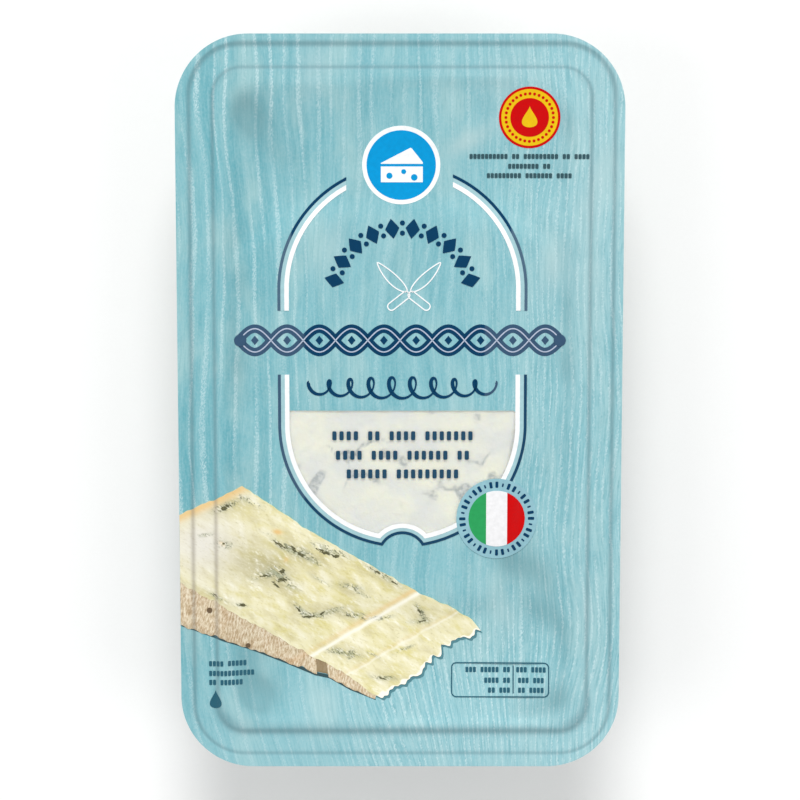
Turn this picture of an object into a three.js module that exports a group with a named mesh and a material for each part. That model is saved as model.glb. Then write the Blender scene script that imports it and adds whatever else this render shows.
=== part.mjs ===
// A sealed retail pack of blue cheese: a clear thermoformed tray with a rounded rectangular flange,
// one wedge-cut slab of cheese lying in it, and a lidding film sealed all round the flange.
// Millimetres, +Z up, origin at the middle of the tray's flat underside, +Y towards the pack's top end.
import * as THREE from "three";

// Driving dimensions of the pack
const PACK_WIDTH = 110;
const PACK_LENGTH = 183;
const OUTER_CORNER_RADIUS = 18;
const FLANGE_HEIGHT = 29;
const TRAY_WALL = 0.6;
const FILM_THICKNESS = 0.3;
const GAP = 0.3;

// The flange, as insets from its cut edge: a high rim, a pressed seal channel and a narrow ledge
const RIM_WIDTH = 2.6;
const CHANNEL_START = 3.3;
const CHANNEL_END = 8.4;
const LEDGE_START = 9.1;
const LEDGE_END = 10.4;
const CHANNEL_DEPTH = 0.7;
const RIM_CORNER_RADIUS = 12.9;
const LEDGE_CORNER_RADIUS = 6.7;

// The cavity under the ledge: a rounded lip, a drafted wall and a fillet down to a flat base
const LIP_WIDTH = 0.9;
const LIP_DROP = 1.1;
const MOUTH_CORNER_RADIUS = 9;
const WALL_DRAFT = 2;
const BASE_FILLET = 3;
const BASE_CORNER_RADIUS = 5;
const FILLET_STEPS = 4;

// The cheese, seen from above: an arc of rind, two cut sides that close in, and a straight cut tip
const RIND_Y = 43;
const RIND_RADIUS = 148;
const RIND_HALF_WIDTH = 41;
const TIP_Y = -45;
const TIP_HALF_WIDTH = 23.5;
const CHEESE_SKEW = -1.5;
const CHEESE_TOP = 27.8;
const CHEESE_EDGE_ROUNDING = 2.2;
const CHEESE_CORNER_POWER = 28;
const CRAG_HEIGHT = 0.25;

// How the film lies over the cavity: on the cheese, and slack between its edges and the ledge
const FILM_DROP_ON_CHEESE = 0.8;
const FILM_SLACK = 0.035;
const MOUTH_CORNER_POWER = 9;

// How finely the skins are divided
const CORNER_STEPS = 6;
const LONG_SIDE_STEPS = 8;
const SHORT_SIDE_STEPS = 4;
const PANEL_RINGS = 10;
const CHEESE_TURNS = 60;
const CHEESE_TOP_RINGS = 6;
const CHEESE_SIDE_RINGS = 4;

const HALF_WIDTH = PACK_WIDTH / 2;
const HALF_LENGTH = PACK_LENGTH / 2;
const CHANNEL_HEIGHT = FLANGE_HEIGHT - CHANNEL_DEPTH;
const WALL_TOP_INSET = LEDGE_END + LIP_WIDTH;
const WALL_FOOT_INSET = WALL_TOP_INSET + WALL_DRAFT;

// A rounded rectangle at a height: the pack's outline moved in by the inset, anticlockwise from above.
function roundedRing(inset, height, radius) {
  const a = HALF_WIDTH - inset - radius;
  const b = HALF_LENGTH - inset - radius;
  const centres = [[a, b], [-a, b], [-a, -b], [a, -b]];
  const straights = [SHORT_SIDE_STEPS, LONG_SIDE_STEPS, SHORT_SIDE_STEPS, LONG_SIDE_STEPS];
  const ring = [];
  centres.forEach(([cx, cy], corner) => {
    for (let i = 0; i <= CORNER_STEPS; i++) {
      const turn = (Math.PI / 2) * (corner + i / CORNER_STEPS);
      ring.push(new THREE.Vector3(cx + radius * Math.cos(turn), cy + radius * Math.sin(turn), height));
    }
    const from = ring[ring.length - 1].clone();
    const [nx, ny] = centres[(corner + 1) % 4];
    const end = (Math.PI / 2) * (corner + 1);
    const to = new THREE.Vector3(nx + radius * Math.cos(end), ny + radius * Math.sin(end), height);
    for (let i = 1; i < straights[corner]; i++) ring.push(from.clone().lerp(to, i / straights[corner]));
  });
  return ring;
}

// One closed solid from rings of equal count, between a pole that starts it and a pole that ends it.
// Travelled outwards over the top, down and back in underneath, its faces point out.
function closedSkin(startPole, rings, endPole) {
  const count = rings[0].length;
  const points = [startPole, ...rings.flat(), endPole];
  const last = points.length - 1;
  const at = (ring, i) => 1 + ring * count + (i % count);
  const index = [];
  for (let i = 0; i < count; i++) {
    index.push(0, at(0, i), at(0, i + 1));
    for (let ring = 0; ring + 1 < rings.length; ring++) {
      index.push(at(ring, i), at(ring + 1, i), at(ring + 1, i + 1));
      index.push(at(ring, i), at(ring + 1, i + 1), at(ring, i + 1));
    }
    index.push(last, at(rings.length - 1, i + 1), at(rings.length - 1, i));
  }
  const geometry = new THREE.BufferGeometry().setFromPoints(points);
  geometry.setIndex(index);
  geometry.computeVertexNormals();
  return geometry;
}

// The flange's upper face, from its cut edge to the cavity's lip, as [inset, height, corner radius].
function flangeStations() {
  const radiusAt = (inset) => {
    const share = (inset - RIM_WIDTH) / (LEDGE_START - RIM_WIDTH);
    return THREE.MathUtils.lerp(RIM_CORNER_RADIUS, LEDGE_CORNER_RADIUS, share);
  };
  return [
    [0, FLANGE_HEIGHT, OUTER_CORNER_RADIUS],
    [RIM_WIDTH, FLANGE_HEIGHT, radiusAt(RIM_WIDTH)],
    [CHANNEL_START, CHANNEL_HEIGHT, radiusAt(CHANNEL_START)],
    [CHANNEL_END, CHANNEL_HEIGHT, radiusAt(CHANNEL_END)],
    [LEDGE_START, FLANGE_HEIGHT, radiusAt(LEDGE_START)],
    [LEDGE_END, FLANGE_HEIGHT, MOUTH_CORNER_RADIUS - LIP_WIDTH],
  ];
}

// The cavity's inner face: the lip, the drafted wall, and a quarter-round fillet down to the base.
function cavityStations() {
  const stations = [
    [LEDGE_END + 0.6 * LIP_WIDTH, FLANGE_HEIGHT - 0.3 * LIP_DROP, MOUTH_CORNER_RADIUS - 0.4 * LIP_WIDTH],
    [WALL_TOP_INSET, FLANGE_HEIGHT - LIP_DROP, MOUTH_CORNER_RADIUS],
  ];
  for (let i = 0; i <= FILLET_STEPS; i++) {
    const turn = (Math.PI / 2) * (i / FILLET_STEPS);
    stations.push([
      WALL_FOOT_INSET + BASE_FILLET * (1 - Math.cos(turn)),
      TRAY_WALL + BASE_FILLET * (1 - Math.sin(turn)),
      THREE.MathUtils.lerp(MOUTH_CORNER_RADIUS, BASE_CORNER_RADIUS, i / FILLET_STEPS),
    ]);
  }
  return stations;
}

// The same stations moved by the wall's thickness to the tray's outside, along the mean of the
// normals of the two stretches that meet there. A corner's arc keeps its centre.
function outsideOf(stations) {
  const normal = (from, to) => new THREE.Vector2(to[1] - from[1], from[0] - to[0]).normalize();
  return stations.map((station, i) => {
    const before = normal(stations[Math.max(i - 1, 0)], stations[Math.max(i, 1)]);
    const after = i + 1 < stations.length ? normal(station, stations[i + 1]) : new THREE.Vector2(0, -1);
    const mean = before.clone().add(after).normalize();
    const move = TRAY_WALL / Math.max(mean.dot(after), 0.5);
    const shift = mean.multiplyScalar(i ? move : TRAY_WALL);
    return [station[0] + shift.x, station[1] + shift.y, station[2] - shift.x];
  });
}

function trayGeometry() {
  const inside = [...flangeStations(), ...cavityStations()];
  const outside = outsideOf(inside);
  outside[0] = [0, FLANGE_HEIGHT - TRAY_WALL, OUTER_CORNER_RADIUS];
  const rings = [...inside.reverse(), ...outside].map((station) => roundedRing(...station));
  return closedSkin(new THREE.Vector3(0, 0, TRAY_WALL), rings, new THREE.Vector3(0, 0, 0));
}

// The smallest of several ray lengths, blended so that corners come out rounded.
function blendedReach(reaches, power) {
  return reaches.reduce((sum, reach) => sum + reach ** -power, 0) ** (-1 / power);
}

// How far a ray from (0, 0) at this angle runs before it crosses the line through (px, py) with
// the outward normal (nx, ny). A ray that leads away from the line never crosses it.
function reachOfLine(angle, px, py, nx, ny) {
  const closing = Math.cos(angle) * nx + Math.sin(angle) * ny;
  return closing > 1e-6 ? (px * nx + py * ny) / closing : 1e6;
}

// The cheese's outline as a radius at each angle: two cut sides, the tip's cut and the arc of rind.
function cheeseReach(angle) {
  const length = RIND_Y - TIP_Y;
  const closing = RIND_HALF_WIDTH - TIP_HALF_WIDTH;
  const slant = Math.hypot(length, closing);
  const arcCentre = RIND_Y - RIND_RADIUS;
  const along = arcCentre * Math.sin(angle);
  const arc = along + Math.sqrt(Math.max(along ** 2 + RIND_RADIUS ** 2 - arcCentre ** 2, 1));
  return blendedReach(
    [
      reachOfLine(angle, TIP_HALF_WIDTH + CHEESE_SKEW, TIP_Y, length / slant, -closing / slant),
      reachOfLine(angle, CHEESE_SKEW - TIP_HALF_WIDTH, TIP_Y, -length / slant, -closing / slant),
      reachOfLine(angle, 0, TIP_Y, 0, -1),
      arc,
    ],
    CHEESE_CORNER_POWER,
  );
}

// The crumbly cut face: a few crossed waves of unlike length, at most CRAG_HEIGHT up or down.
function crag(x, y) {
  const waves = Math.sin(0.31 * x + 0.17 * y) + Math.sin(0.23 * y - 0.13 * x + 1.7) * Math.sin(0.41 * x);
  return (CRAG_HEIGHT / 2) * waves;
}

function cheeseRing(share, inset, height, lift) {
  return Array.from({ length: CHEESE_TURNS }, (_, i) => {
    const angle = (2 * Math.PI * i) / CHEESE_TURNS;
    const radius = share * (cheeseReach(angle) - inset);
    const x = radius * Math.cos(angle);
    const y = radius * Math.sin(angle);
    return new THREE.Vector3(x, y, height + lift * crag(x, y));
  });
}

function cheeseGeometry() {
  const bottom = TRAY_WALL + GAP;
  const round = CHEESE_EDGE_ROUNDING;
  const rings = [];
  for (let i = 1; i <= CHEESE_TOP_RINGS; i++) {
    rings.push(cheeseRing(i / CHEESE_TOP_RINGS, round, CHEESE_TOP, 1));
  }
  rings.push(cheeseRing(1, 0.3 * round, CHEESE_TOP - 0.3 * round, 0.5));
  for (let i = 0; i <= CHEESE_SIDE_RINGS; i++) {
    const height = THREE.MathUtils.lerp(CHEESE_TOP - round, bottom + round, i / CHEESE_SIDE_RINGS);
    rings.push(cheeseRing(1, 0, height, 0));
  }
  rings.push(cheeseRing(1, 0.3 * round, bottom + 0.3 * round, 0));
  rings.push(cheeseRing(1, round, bottom, 0));
  const top = new THREE.Vector3(0, 0, CHEESE_TOP + crag(0, 0));
  return closedSkin(top, rings, new THREE.Vector3(0, 0, bottom));
}

// The cavity's mouth as a radius at each angle, measured at the ledge's inner edge.
function mouthReach(angle) {
  const a = HALF_WIDTH - LEDGE_END;
  const b = HALF_LENGTH - LEDGE_END;
  const sides = [a / Math.max(Math.abs(Math.cos(angle)), 1e-3), b / Math.max(Math.abs(Math.sin(angle)), 1e-3)];
  return blendedReach(sides, MOUTH_CORNER_POWER);
}

// The film's height over the cavity, relative to the ledge. On the cheese it is flat and a little
// low. Between the cheese's edge and the ledge it climbs, less the slack, which grows with the span.
function filmDip(x, y) {
  const angle = Math.atan2(y, x);
  const edge = cheeseReach(angle);
  const span = Math.max(mouthReach(angle) - edge, 1);
  const t = THREE.MathUtils.clamp((Math.hypot(x, y) - edge) / span, 0, 1);
  const climb = t * t * (3 - 2 * t);
  return FILM_DROP_ON_CHEESE * (climb - 1) - FILM_SLACK * span * 4 * t * (1 - t);
}

function filmGeometry() {
  const flange = flangeStations().map((station) => roundedRing(...station));
  const ledge = flange[flange.length - 1];
  const rings = [];
  for (let i = 1; i < PANEL_RINGS; i++) {
    const share = i / PANEL_RINGS;
    rings.push(ledge.map((p) => {
      const dip = filmDip(share * p.x, share * p.y);
      return new THREE.Vector3(share * p.x, share * p.y, FLANGE_HEIGHT + dip);
    }));
  }
  rings.push(...flange.reverse());
  const raised = (lift) => rings.map((ring) => ring.map((p) => new THREE.Vector3(p.x, p.y, p.z + lift)));
  const under = raised(GAP);
  const over = raised(GAP + FILM_THICKNESS);
  const middle = FLANGE_HEIGHT + filmDip(0, 0) + GAP;
  return closedSkin(
    new THREE.Vector3(0, 0, middle + FILM_THICKNESS),
    [...over, ...under.reverse()],
    new THREE.Vector3(0, 0, middle),
  );
}

function namedMesh(name, geometry, colour, roughness, options = {}) {
  const material = new THREE.MeshStandardMaterial({ color: colour, roughness, metalness: 0, ...options });
  const mesh = new THREE.Mesh(geometry, material);
  mesh.name = name;
  return mesh;
}

const pack = new THREE.Group();
pack.add(namedMesh("tray", trayGeometry(), 0xe8eef0, 0.15, { transparent: true, opacity: 0.35 }));
pack.add(namedMesh("cheese", cheeseGeometry(), 0xece6d2, 0.6));
pack.add(namedMesh("film", filmGeometry(), 0x8cc7cf, 0.3));

export default pack;
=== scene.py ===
"""Looks for a sealed tray pack of blue cheese: a clear tray, the cheese in it, and a printed lidding film.

Shapes are worked out in millimetres as whole numpy arrays, and become metres when a mesh is made.
The pack lies on its tray, +Z up through the film, +Y towards its top end, +X to the right of the print.
"""

import math

import bmesh
import bpy
import numpy as np
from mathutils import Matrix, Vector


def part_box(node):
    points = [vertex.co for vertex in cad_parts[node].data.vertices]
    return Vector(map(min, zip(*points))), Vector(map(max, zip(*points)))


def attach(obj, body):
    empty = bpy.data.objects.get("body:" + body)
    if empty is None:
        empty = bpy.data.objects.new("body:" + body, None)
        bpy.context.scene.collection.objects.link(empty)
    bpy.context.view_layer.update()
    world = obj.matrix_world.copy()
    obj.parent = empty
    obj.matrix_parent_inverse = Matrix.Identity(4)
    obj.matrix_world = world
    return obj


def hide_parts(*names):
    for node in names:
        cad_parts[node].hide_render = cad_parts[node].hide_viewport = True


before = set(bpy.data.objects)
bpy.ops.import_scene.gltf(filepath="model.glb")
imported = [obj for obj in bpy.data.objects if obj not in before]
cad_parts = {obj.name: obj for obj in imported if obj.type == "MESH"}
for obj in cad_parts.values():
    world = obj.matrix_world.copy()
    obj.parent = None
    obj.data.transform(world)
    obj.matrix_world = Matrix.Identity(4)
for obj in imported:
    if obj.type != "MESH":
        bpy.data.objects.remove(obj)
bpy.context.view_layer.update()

MM = 0.001
SHARP_ANGLE = math.radians(40)

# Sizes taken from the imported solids, in millimetres
tray_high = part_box("tray")[1]
cheese_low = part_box("cheese")[0]
HALF_WIDTH = tray_high.x / MM
HALF_LENGTH = tray_high.y / MM
FLANGE_HEIGHT = tray_high.z / MM
CHEESE_BOTTOM = cheese_low.z / MM

# The flange, as insets from its cut edge
RIM_WIDTH = 2.0
CHANNEL_END = 7.7
STEP_WIDTH = 1.8
CHANNEL_DEPTH = 0.3
LEDGE_END = 10.4
OUTER_CORNER_RADIUS = 18
RADIUS_INSETS = [0, 2.6, 9.1, 10.4, 11.3, 13.3, 16.3]
RADIUS_VALUES = [OUTER_CORNER_RADIUS, 12.9, 6.7, 8.1, 9, 9, 5]

# The seal's two pressed lines, how far off centre they lie, and where along the pack they grow
# fainter or wider: from y, over a length, by a share
CREASE_DEPTH = 0.07
CREASE_WIDTH = 0.55
SEAL_SHIFT = (0.5, 0.45)
OUTER_CREASE_FAINTER = (78, 8, 0.2)
OUTER_CREASE_WIDER = (70, 12, 0.4)
INNER_CREASE_WIDER = (-68, -10, 1.1)

# The tray under the ledge
TRAY_WALL = 0.55
LIP_RADIUS = 0.9
WALL_FOOT_INSET = 13.3
BASE_FILLET = 3
TRAY_POINTS_AROUND = 288

# The cheese from above, and its crumb
RIND_Y = 43
RIND_RADIUS = 148
RIND_HALF_WIDTH = 41
TIP_Y = -45
TIP_HALF_WIDTH = 23.5
CHEESE_SKEW = -1.5
CHEESE_TOP = 27.8
CHEESE_EDGE_ROUNDING = 2.2
CHEESE_CORNER_POWER = 28
CHEESE_POINTS_AROUND = 420
RIND_THICKNESS = 2.4
LUMP_HEIGHT = 0.1
CRUMB_HEIGHT = 0.05
CRACK_DEPTH = 0.3

# How the film lies over the cavity
FILM_THICKNESS = 0.1
FILM_LIFT = 0.02
FILM_DROP_ON_CHEESE = 1.15
FILM_SLACK = 0.035
WAVES_ON_CHEESE = 0.05
WAVES_BESIDE_CHEESE = 0.11
FINE_WAVES = 0.02
FILM_SETTLES_OVER = 2
DENTS_START_OVER = 7
MOUTH_CORNER_POWER = 9
FILM_POINTS_AROUND = 432

# Soft dents in the loose film, with painted shade: place, half length, half width, lean in degrees, depth
DENTS = (
    (-36.5, 71, 12, 4.2, -64, 0.5), (-36.5, -71, 8, 7, 90, 0.6), (30, -40, 8, 5, -45, 0.38),
    (36.5, -52.5, 9, 4, -58, 0.38), (42, -67, 8, 3, 92, 0.2), (38.5, -75.5, 7, 4, 20, 0.36),
    (41, 66, 9, 4, 90, 0.25), (-41, 20, 26, 3, 90, 0.2), (42, 14, 24, 3, 90, 0.25))

# Pale wisps, partly painted highlights: place, half length, half width, lean in degrees, strength
WISPS_AND_SHEEN = (
    (17, 66, 11, 2.4, 28, 0.55), (-22, 82, 9, 4, 80, 0.35), (-17, 40, 9, 4.5, 85, 0.3),
    (37, 36, 9, 3.6, 90, 0.55), (48, 50, 34, 6, 88, 0.4), (-20, -76, 8, 6, 80, 0.3),
    (25, 82, 9, 6, 60, 0.35), (-5, 40, 12, 3, 95, 0.15), (26, -52, 9, 3.5, -60, 0.3),
    (47, -50, 18, 3, 95, 0.25))

# Gravure inks: colour, and where a painted sheen pales them to the sides, the sheen colour, how far
# from a middle it starts, that middle, and whether it is on the left only
INKS = {
    "navy": ("#003B5F", "#3A5672", 22, -1.3),
    "frame_navy": ("#003B5F", "#4E6A80", 26.8, 0.3),
    "foot_navy": ("#184462", "#3F5B74", 22.2, -1.3, True),
    "deep_navy": ("#003B5F",),
    "small_navy": ("#2C6072",),
    "white": ("#FBFCFC",),
    "soft_white": ("#F4F3F4",),
    "gap_blue": ("#A6CCD2",),
    "pale_blue": ("#93C0CB",),
    "bright_blue": ("#009AD9",),
    "lilac": ("#B9C3D6",),
    "green": ("#2EA25C",),
    "red": ("#D10002",),
    "yellow": ("#F0C410",),
    "charcoal": ("#38575F",),
    "shadow": ("#588A94",),
    "deep_shadow": ("#3A5459",),
    "window_navy": ("#244A64",),
    "hole_brown": ("#6E5B45",),
}
INK_STEP = 0.05
INK_SINK = 0.03
THIN_LINE = 0.3

# The capsule-shaped frame and the window in its foot
PRINT_AXIS = 0.6
CAPSULE_TOP = 29.05
CAPSULE_BOTTOM = -4.7
CAPSULE_OPENINGS = (13.8, 12.4)
CAPSULE_BREAK = (23.8, 7.9)
WHITE_RADIUS = 28.6
NOTCH_Y = -37.8
WHITE_NOTCH = 7.7
WINDOW_TOP = -1.1
WINDOW_MIDDLE = -15

# The frame's lines: name, radius, notch radius, width, ink level, ink above, ink below
FRAME_LINES = (("gap", 29.6, 6.85, 1.3, 1, "gap_blue", "gap_blue"),
               ("navy", 30.5, 5.95, 0.72, 2, "frame_navy", "foot_navy"),
               ("white", WHITE_RADIUS, WHITE_NOTCH, 1.12, 2, "white", "white"))

# The round blue badge, with its wedge and holes (x, y, radius) placed from its middle
MEDALLION = (0.3, 59.6)
MEDALLION_RADIUS = 9.6
MEDALLION_RIM = 1.1
WEDGE_TOP = ((-5, 0.5), (2.4, 4.3), (5.3, 0.7))
WEDGE_TOP_FOOT = 0.3
WEDGE_FRONT = (-0.35, -4.2)
WEDGE_HOLES = ((-2.9, -2.6, 0.75), (0.6, -1.6, 0.6), (3.2, -3.0, 0.8))

# The arch of lozenges and dots, from one angle to the other
ARCH_MIDDLE = (0.6, 26.8)
ARCH_RADIUS = 17.4
ARCH_ANGLES = (165, 15)
ARCH_COUNT = 10
LOZENGE_HALF = (1.75, 2.45)
LOZENGE_HOLLOWING = 1.9
ARCH_DOT_RADIUS = 0.62
ARCH_DOT_OFFSET = 1.25

# The crossed knives
KNIVES_MIDDLE = (2.2, 28.2)
KNIFE_LEAN = math.radians(38)
BLADE_START = 0.6
BLADE_LENGTH = 10.2
BLADE_HALF_WIDTH = 1.25
BLADE_BEND = 1.1
HANDLE_HALF = (3.2, 0.95)
HANDLE_CORNER = 0.93

# The braided band and the flourish under it
BRAID_Y = 16.45
BRAID_HALF_LENGTH = 39.9
BRAID_HALF_HEIGHT = 2.9
BRAID_EYES = 10
BRAID_STRAND = 2.1
BRAID_LOZENGE_HALF = (0.95, 1.15)
BRAID_TIP_RADIUS = 1.5
BRAID_TIP_INSET = 0.4
FLOURISH_Y = 4.6
FLOURISH_HALF_LENGTH = 23.2
FLOURISH_CURLS = 9
CURL_HALF = (1.9, 2.6)

# Lines of bars or blocks: y and the lengths of their runs, with half width, half height and corner
# of one mark, and the pitch
WINDOW_LINES = ((-7.4, (4, 2, 4, 7)), (-12.3, (4, 4, 6, 2)), (-17.0, (6, 9)))
WINDOW_BAR = (0.52, 1.12, 0.3)
WINDOW_PITCH = 1.78
BADGE_LINES = ((61.7, (10, 2, 9, 2, 4)), (59.3, (8, 2)), (57.0, (9, 7, 4)))
BADGE_BLOCK = (0.38, 0.6, 0.15)
SMALL_PRINT_LEFT = -47.6
SMALL_PRINT_LINES = ((-65.1, (4, 5)), (-67.6, (12,)), (-69.9, (2, 6)))
SMALL_BLOCK = (0.36, 0.66, 0.15)
SMALL_PITCH = 0.95

# The three-colour roundel, and the red and yellow badge with its rings, dots and drop
ROUNDEL = (24.15, -28.3)
ROUNDEL_RADIUS = 10.1
FLAG_RADIUS = 7.05
FLAG_STRIPES = (-7.05, -2.65, 2.6, 7.05)
BEAD_RING_RADIUS = 8.6
BEAD = (0.36, 0.78, 0.2)
BEAD_COUNT = 36
BADGE = (31.7, 71.2)
BADGE_RINGS = (("rim", 7.5, "red"), ("band", 6.9, "yellow"), ("field", 4.7, "red"))
BADGE_DOT_RING = 5.8
BADGE_DOT_RADIUS = 0.36
BADGE_DOT_COUNT = 32
BADGE_DROP_HALF = (1.9, 2.6)
BADGE_DROP_LIFT = 0.2

# The small mark, and the ruled box with lines left and right of its divider
SMALL_MARK = (-46.4, -74.2)
SMALL_MARK_HALF = (1.5, 2.3)
TABLE_MIDDLE = (25.2, -69.5)
TABLE_HALF = (12.2, 4.3)
TABLE_CORNER = 1.2
TABLE_RULE = 0.28
TABLE_DIVIDER_X = 28.5
TABLE_MARGIN = 1.2
TABLE_LEFT = ((-66.9, (3, 5, 2)), (-69.6, (4, 2)), (-72.1, (2, 3)))
TABLE_RIGHT = ((-66.9, (3, 4)), (-69.6, (3, 3)), (-72.1, (2, 4)))
TABLE_DIVIDER_ENDS = (-65.9, -72.9)

# The pictured wedge, corner by corner
PICTURE_EDGE_X = -54.95
PICTURE_TOP = ((PICTURE_EDGE_X, -27.2), (-39.3, -20.1), (-22.4, -31.5), (4.7, -47.1))
PICTURE_BASE = ((PICTURE_EDGE_X, -44.2), (-41.7, -52.1), (-22.5, -63.5))
PICTURE_FOOT = ((PICTURE_EDGE_X, -55.0), (-39.0, -61.0), (-21.6, -68.0))
SLICE_TOP = (PICTURE_TOP[3], (14.0, -51.5), (18.1, -54.3), (20.5, -57.3))
RIND_END = ((-21.2, -64.1), (-20.9, -68.0))
SLICE_BASE = (PICTURE_BASE[2], (-18.6, -65.1), (-12.8, -68.6), (-5.8, -73.8))
SLICE_FOOT = ((-18.0, -68.7), (-12.8, -71.6), (-6.3, -74.2))
SLICE_END = ((20.5, -57.3), (13.0, -60.0), (8.2, -64.3), (4.4, -68.3), (-1.6, -72.1), (-5.8, -73.8))
SECOND_RIDGE = ((15.0, -52.0), (-12.3, -67.6))
PICTURE_HOLES = ((-47.7, -51.4, 0.7), (-38.2, -60.7, 0.6))
MILKY_MIDDLE = (-49.2, -34.5)
MILKY_HALF = (10, 9)
TORN_LENGTH = 33
SCALLOP_LENGTH = 4.6
GRAIN_OF_PICTURE = math.radians(-31)

# Where mould gathers in the picture, its deepest pits, tan spots and dusky hollows: place, half
# length, half width, lean in degrees, strength
MOULD = (
    (-43.6, -25.1, 3.2, 0.9, 20, 0.8), (-37.8, -23.7, 3.4, 0.7, -28, 0.6),
    (-43.8, -34.7, 2.4, 0.9, -10, 0.6), (-29.2, -35.3, 3.0, 0.8, -28, 0.8),
    (-24.8, -36.9, 3.0, 1.1, -22, 0.8), (-17.6, -36.3, 4.4, 1.0, -20, 0.7),
    (-22.0, -38.7, 3.4, 0.7, -32, 0.6), (-34.2, -42.7, 3.0, 0.9, 14, 0.7),
    (-30.6, -41.7, 2.2, 1.2, -40, 0.8), (-28.8, -44.3, 3.4, 1.0, -32, 0.8),
    (-40.0, -50.1, 1.8, 0.5, -10, 0.6), (-45.6, -48.1, 2.6, 0.5, -28, 0.6),
    (-25.0, -51.5, 2.4, 0.7, -46, 0.8), (-21.2, -52.9, 3.0, 0.7, -5, 0.7),
    (-16.8, -51.7, 2.8, 0.7, 15, 0.6), (-11.2, -52.9, 3.4, 0.8, -8, 0.6),
    (-5.2, -53.7, 3.4, 0.6, 8, 0.7), (-4.0, -42.9, 5.2, 0.7, -31, 0.6),
    (-12.4, -45.7, 3.2, 1.0, -12, 0.5), (5.2, -52.1, 2.6, 0.8, -60, 0.6), (5.0, -54.5, 3.0, 0.7, 5, 0.5),
    (-14.8, -62.3, 4.6, 0.8, -12, 0.7), (-12.4, -63.1, 1.4, 0.6, 60, 0.5),
    (-4.0, -68.9, 3.2, 0.7, -5, 0.6), (1.0, -61.7, 3.0, 0.5, 22, 0.5),
    (-20.2, -43.9, 3.6, 0.5, -32, 0.4), (-48.7, -32.3, 2.2, 0.5, 10, 0.5),
    (-8.8, -47.9, 2.6, 0.4, -25, 0.4), (-33.4, -32.1, 1.4, 0.4, -20, 0.4),
    (-6.6, -63.1, 2.6, 0.35, -25, 0.4))
PITS = (
    (-43.6, -25.3, 1.9, 0.55, 24, 1), (-30.0, -35.0, 1.8, 0.36, -30, 1),
    (-26.6, -35.9, 1.0, 0.45, -55, 1), (-24.8, -37.4, 0.9, 0.4, -20, 1),
    (-19.1, -36.7, 2.0, 0.4, -24, 1), (-16.0, -37.8, 0.9, 0.45, -5, 1), (-33.8, -42.8, 1.3, 0.28, 14, 1),
    (-29.5, -41.7, 0.8, 0.55, 8, 1), (-29.8, -44.0, 1.5, 0.48, 12, 1), (-31.2, -45.1, 1.1, 0.28, -42, 1),
    (-39.5, -50.2, 1.0, 0.32, -5, 1), (-25.6, -51.3, 1.5, 0.26, -52, 0.9),
    (-22.8, -53.2, 1.9, 0.3, 6, 0.9), (-19.6, -52.4, 0.8, 0.28, 30, 0.8),
    (-13.0, -53.0, 1.0, 0.24, -20, 0.8), (-5.8, -53.5, 1.3, 0.28, 12, 0.9),
    (-44.1, -34.5, 0.7, 0.4, 20, 0.9), (-46.0, -47.6, 0.8, 0.24, -30, 0.8),
    (4.8, -51.9, 1.1, 0.24, -55, 0.8), (5.8, -54.5, 1.1, 0.24, 10, 0.8),
    (-15.8, -61.9, 1.1, 0.2, -32, 0.7), (-1.6, -44.4, 1.1, 0.28, -28, 0.8),
    (-6.0, -41.7, 1.4, 0.26, -30, 0.8), (-4.6, -69.1, 1.2, 0.24, -15, 0.8))
TAN_SPOTS = (
    (-30.6, -31.7, 1.1, 0.6, -10, 1.2), (-44.4, -34.4, 0.8, 0.4, -30, 0.6),
    (-28.5, -38.7, 0.8, 0.6, 60, 0.5))
DUSK = (
    (-31.7, -41.5, 6.5, 4.2, -40, 0.6), (-37.7, -38.5, 6, 4, -60, 0.3), (-43.2, -41.0, 6, 4, -30, 0.2),
    (-24.2, -37.5, 7, 2.4, -24, 0.45), (-18.7, -52.0, 8, 1.8, 5, 0.3), (-43.7, -25.0, 5, 2, 15, 0.35),
    (-4.2, -43.5, 9, 1.8, -31, 0.3), (-13.2, -62.5, 6, 1.8, -15, 0.3), (5.8, -53.5, 4, 2.4, -30, 0.3),
    (-3.7, -69.0, 4, 1.6, -10, 0.3), (-46.2, -48.0, 6, 1.6, -28, 0.3), (-12.7, -46.0, 5, 2, -20, 0.3))

# The photograph's camera: 800 pixels across, a 2400 pixel focal length, tipped towards the top end
SENSOR_WIDTH = 36
LENS = 108
CAMERA_TILT = math.radians(-7.15)
CAMERA_Y = 75.7
CAMERA_ABOVE_FLANGE = 590

# Studio: a wide round floor just under the pack, and each lamp's place, size in metres and power
FLOOR_RADIUS = 2500
FLOOR_HEIGHT = -0.05
LAMPS = {"top_end": ((0, 2400, 1680), 1.5, 68), "left": ((-2100, -450, 1800), 1.8, 16),
         "right": ((2100, -600, 1950), 1.8, 14)}


def smooth(t):
    """Smoothstep: 3t squared less 2t cubed, held to 0 and 1 outside."""
    t = np.clip(t, 0, 1)
    return t * t * (3 - 2 * t)


def ramp(t, start, length, amount=1.0):
    """A smoothstep from 0 up to an amount, from a start over a length, which is negative where it
    runs the other way."""
    return amount * smooth((t - start) / length)


def turns_round(count):
    """Angles evenly round a full turn."""
    return 2 * math.pi * np.arange(count) / count


def bell(distance, width):
    """A bell curve: e to the minus square of the distance in widths."""
    return np.exp(-((distance / width) ** 2))


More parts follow.
